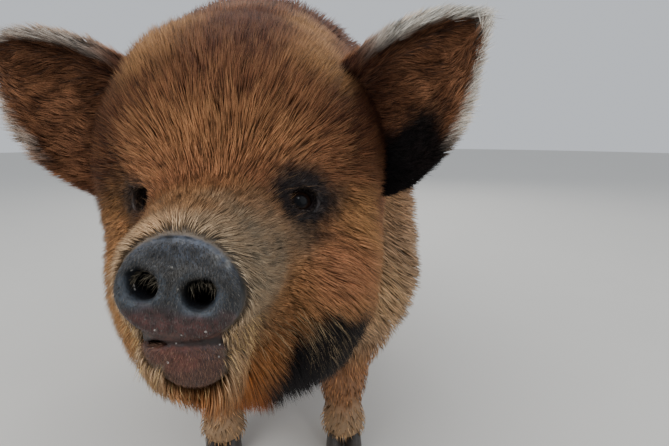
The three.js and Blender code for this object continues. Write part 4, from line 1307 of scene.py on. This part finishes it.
def growHead():
    # sown densest on the muzzle and round the eyes; pieces run from the nose back
    q = toHead(skinPoints)
    near = fade(farFrom(q, discOrigin), 34, 90)
    nearEye = fade(farFrom(mirrored(q), eyeOrigin), 14, 34)
    hairy = fade(q[:, 1], 62, 84) * fade(bareShare(skinPoints)[0], 0.1, 0.5)
    density = hairy * (0.9 + 0.7 * near + 0.8 * nearEye)
    roots, out = sowInRows(density, coatCounts["head"], 41, lambda p: toHead(p)[:, 1])
    q = toHead(roots)
    chin = spot(q, (14, -44, -62), (30, 44, 17), 0.5) * smoothStep(-q[:, 2], 44, 56)
    jaw = smoothStep(-q[:, 2], 46, 64) * smoothStep(q[:, 1], -50, -15)
    lie = unit(coatLie(roots, out) + (0.7 * jaw + 0.5 * chin)[:, None] * np.array([0, 0, -1.0]))
    poll = spot(q, (0, 34, 84), (52, 44, 30), 0.5)
    onMuzzle = fade(farFrom(q, discOrigin), 36, 80)
    depth = coatDepth(roots) + 9.0 * chin * smoothStep(q[:, 0], -8, 14) + 6.0 * poll
    depth = np.maximum(depth, 1.1 + 1.2 * onMuzzle)
    run = 4.4 + depth * 0.9 + 4 * jaw - 5 * poll
    tufts = (roots, out, lie, depth * 0.95 + 0.5, run, 0.25 + 0.011 * depth, coatColour(roots))
    names = ("coat_muzzle", "coat_face", "coat_cheeks", "coat_crown")
    upper = 1 - 0.8 * smoothStep(-q[:, 2], 54, 66)
    growParts(names, tufts, unwrapHead, [2.6] * 4, 0.34, 100, np.outer((0.28, 0.24, 0.13, 0.07), upper))


def growBody():
    q = toHead(skinPoints)
    density = smoothStep(q[:, 1], 50, 80) * smoothStep(skinPoints[:, 2], 140, 160)
    density = density * (1 + 3.0 * fade(q[:, 1], 80, 170))
    roots, out = sowInRows(density, coatCounts["body"], 42, lambda p: p[:, 1])
    depth = coatDepth(roots)
    far = smoothStep(toHead(roots)[:, 1], 70, 200)
    b = roots - shift
    mane = spot(b, (-14, -80, 400), (50, 210, 52), 0.6)
    chest = spot(b, (-25, -165, 110), (72, 60, 50), 0.6) * smoothStep(-out[:, 2], 0.0, 0.5)
    rise = depth * 0.9 + 8 * mane + 14 * chest
    run = mixIn(depth * 1.3, depth * 2.1, far) + 4 * mane
    tufts = (roots, out, coatLie(roots, out), rise, run, mixIn(0.62, 1.2, far), coatColour(roots))
    tipShares = np.full((2, len(roots)), 0.14)
    growParts(("coat_shoulders", "coat_rump"), tufts, unwrapBody, (5.0, 8.0), 0.35, 200, tipShares)


def growLegs():
    density = (fade(skinPoints[:, 2], 140, 160) * (skinPoints[:, 2] > 15)).astype(float)
    roots, out, _, _ = sowRoots(skinGround, density, coatCounts["legs"], np.random.default_rng(43))
    depth = coatDepth(roots)
    rise, run, width = depth * 0.8 + 0.3, depth * 1.2 + 5, np.full(len(roots), 0.9)
    tufts = (roots, out, coatLie(roots, out), rise, run, width, coatColour(roots))
    growTufts("coat_legs", tufts, unwrapBody, 6.0, 0.4, 300)


def growTail():
    density = np.ones(len(tailGround[0]))
    roots, out, _, _ = sowRoots(tailGround, density, coatCounts["tail"], np.random.default_rng(44))
    way = np.array([0.0, 0.25, -1.0]) + np.zeros_like(roots)
    way[:, 1] += 2.2 * smoothStep(roots[:, 2], 300, 320)
    lie = unit(way - out * (way * out).sum(1, keepdims=True))
    end = fade(roots[:, 2], 200, 260)
    tufts = (roots, out, lie, 2 + 3 * end, 9 + 9 * end, np.full(len(roots), 0.9), coatColour(roots))
    growTufts("coat_tail", tufts, unwrapBody, 5.0, 0.5, 310)


def growEar(side, word):
    # inside: long wavy hairs from the root outwards; outside: short close fur; a pale fringe along the rims
    ground = earGrounds[side]
    u, v = earPlaces()
    inner = earInner(ground[1])
    density = (0.6 + 0.9 * smoothStep(np.abs(v), 0.75, 1.0)) * smoothStep(u, -0.06, 0.1)
    density = density * mixIn(0.8, 0.9, inner)
    draw = np.random.default_rng(50 + side)
    roots, out, corners, weights = sowRoots(ground, density, coatCounts["ear"], draw)
    u, v, inner = ((part[corners] * weights).sum(1) for part in (u, v, inner))

    def onEar(u, v):
        return placeEar(earPoint(u[:, None], v[:, None]), side)

    lie = unit(onEar(np.minimum(u + 0.08, 1.02), v) - onEar(u - 0.02, v))
    over = unit(onEar(u, v - 0.05) - onEar(u, v))
    rimShare = smoothStep(np.abs(v), 0.8, 0.98)
    sweep = mixIn(-0.55, 0.55, smoothStep(-v, 0.55, 0.95)) - 0.5 * rimShare * (v > 0)
    lie = unit(lie + over * (sweep + 0.28 * ripple(roots, 16, 61))[:, None])
    lie = unit(lie - out * (lie * out).sum(1, keepdims=True))
    top = rimShare * np.where(v < 0, 1, smoothStep(u, 0.4, 0.62)) + 0.8 * smoothStep(u, 0.86, 0.97)
    short = 1 - (0.25 if side > 0 else 0.5) * smoothStep(u, 0.66, 0.96)  # towards the tip
    rise = (mixIn(2.2, 3.4, inner) + 4.0 * top) * short
    run = (mixIn(6.5, 10.5, inner) + 6.0 * top) * short
    tufts = (roots, out, lie, rise, run, mixIn(0.46, 0.34, inner), earColour(u, v, side, out, roots))
    growTufts("coat_ear_" + word, tufts, unwrapHead, 3.2, 0.4, 400 + 10 * side, 0.1)


def growBristles():
    # single long hairs: lashes, the nostrils' tops, pale bristles on the black jaw, whiskers round the lips
    draw = np.random.default_rng(60)
    share = coatCounts["bristles"] / 1500
    hairs = []

    def add(root, out, lie, rise, run, width, colour):
        # rise and run give the lowest and the highest value
        n = len(root)
        lie = unit(lie - out * (lie * out).sum(1, keepdims=True))
        rise, run = draw.uniform(*rise, n), draw.uniform(*run, n)
        hairs.append((root, out, lie, rise, run, np.full(n, width), np.broadcast_to(single(colour), (n, 3))))

    def strew(density, count, fall, rise, run, width, colour, tone=None):
        # hairs along the coat's lie, drawn down by fall, their shades between the two of tone
        root, out, _, _ = sowRoots(skinGround, density, int(count * share), draw)
        if tone:
            colour = draw.uniform(*tone, (len(root), 1)) * np.array(colour)
        add(root, out, coatLie(root, out) + np.array([0, 0, -fall]), rise, run, width, colour)

    for side, _ in bothSides:  # lashes stand along the upper lid's margin
        n = int(70 * share)
        t = draw.uniform(0.12, 0.9, n) * math.pi
        wide, tall = eyeLooks["halfWidth"] * 1.1, eyeLooks["upper"] * 1.15
        e = np.stack([wide * np.cos(t), tall * np.sin(t), 11.2 + 0 * t], 1)
        root = placeEye(e, side)
        way = np.stack([0.35 * np.cos(t) + 0.1 * draw.normal(size=n), 0.25 + 0 * t, 1 + 0 * t], 1)
        way, up = placeEye(e + way, side) - root, placeEye(e + np.array([0, 1.0, 0]), side) - root
        add(root, unit(up), unit(way), (1.0, 2.4), (3.5, 6.0), 0.2, (0.07, 0.05, 0.035))
    for side, _ in bothSides:  # the nostrils' hairs
        n = int(60 * share)
        middleX, middleZ = discShape["nostrilMiddle"]
        t = draw.uniform(0.15, 0.85, n) * math.pi
        far = discShape["nostril"] * 1.05
        x, z = middleX + side * discShape["apart"] / 2 + far * np.cos(t), middleZ + far * 0.9 * np.sin(t)
        d = np.stack([x, 0.5 + 2.5 * draw.random(n), z], 1)
        across = side * draw.uniform(0.1, 0.9, n)
        way = np.stack([across, -0.35 - 0.3 * draw.random(n), -0.55 + 0.4 * draw.normal(size=n)], 1)
        ahead = np.tile([[0, -1.0, 0]], (n, 1))
        way, out = (unit(rows) @ discTurning.T @ headTurning.T for rows in (way, ahead))
        root = fromHead(single(d @ discTurning.T + discOrigin))
        add(root, out, way, (1.8, 3.2), (4, 8), 0.13, (0.19, 0.165, 0.12))
    q = toHead(skinPoints)
    d = toDisc(q)
    bare, disc, lip, _ = bareShare(skinPoints)
    jaw = spot(q, (38, -18, -56), (26, 36, 20), 0.4)
    strew(jaw, 480, 0.35, (9, 14), (14, 24), 0.26, (0.5, 0.36, 0.2), (0.35, 1.0))
    chops = fade(farFrom(q, (0, -76, -46)), 22, 42) * (q[:, 2] < -30)
    strew(chops * (1 - bare), 760, 0.35, (5, 9), (5, 10), 0.24, (0.5, 0.33, 0.15))
    brow = spot(mirrored(q), (32, -30, 30), (30, 26, 26), 0.6)
    brow = brow + 0.6 * spot(q, (0, -50, 10), (50, 40, 40), 0.5)
    strew(brow * (1 - bare), 260, 0, (4, 8), (6, 11), 0.17, (0.17, 0.1, 0.05))
    # grey fuzz on the upper disc, then fine hair on the lower lip
    edge = fade(discSide(d)[0], -1.5, -0.3) * smoothStep(nostrilGap(d)[0], 0.4, 1.2)
    fuzz = (0.35 + 0.65 * smoothStep(d[:, 2], -9, 3)) * (d[:, 1] < 0) * edge
    strew(fuzz, 3200, 5, (0.5, 1.0), (1.4, 2.6), 0.13, (0.11, 0.105, 0.1), (0.4, 1.2))
    onLip = lip * (1 - disc) * (q[:, 2] < -41)
    strew(onLip, 2200, 0.6, (0.5, 1.1), (1.6, 3.2), 0.12, (0.22, 0.12, 0.085), (0.4, 1.3))
    for side, _ in bothSides:  # short hair over the lids
        points, normals, _ = lidGrounds[side]
        e = (toHead(points) * np.array([side, 1, 1]) - eyeOrigin) @ eyeTurning
        away = np.hypot(e[:, 0] / eyeLooks["halfWidth"], e[:, 1] / eyeLooks["upper"])
        front = (normals * unit(points - placeEye(np.zeros((1, 3)), side))).sum(1) > 0.1
        density = front * smoothStep(away, 0.98, 1.12)
        root, out, _, _ = sowRoots(lidGrounds[side], density, int(3600 * share), draw)
        pale = (draw.random(len(root)) < 0.3)[:, None] * np.array([0.075, 0.062, 0.055])
        add(root, out, coatLie(root, out), (0.5, 1.2), (2, 3.6), 0.22, coatColour(root) + pale)
    tufts = [np.concatenate(rows) for rows in zip(*hairs)]
    growTufts("coat_bristles", tufts, unwrapHead, 0.2, 0.0, 500, 0.12, "cream")


growHead()
print("head coat grown")
growBody()
growLegs()
growTail()
print("body coat grown")
for side, word in bothSides:
    growEar(side, word)
print("ear coats grown")
growBristles()
print("bristles grown")


def layFloor():
    # one wide disc of pale studio floor, its colour hardly uneven
    turn = circle(96)
    points = np.stack([np.cos(turn), np.sin(turn), 0 * turn], 1) * studio["floorRadius"]
    mesh = bpy.data.meshes.new("floor")
    mesh.from_pydata(points.tolist(), [], [list(range(96))])
    material, tree, shader = startMaterial("paleFloor")
    mottleOver(tree, shader, studio["floor"], surfaceLooks["floor"])
    mesh.materials.append(material)
    floor = bpy.data.objects.new("floor", mesh)
    scene.collection.objects.link(floor)


layFloor()
print("floor laid")
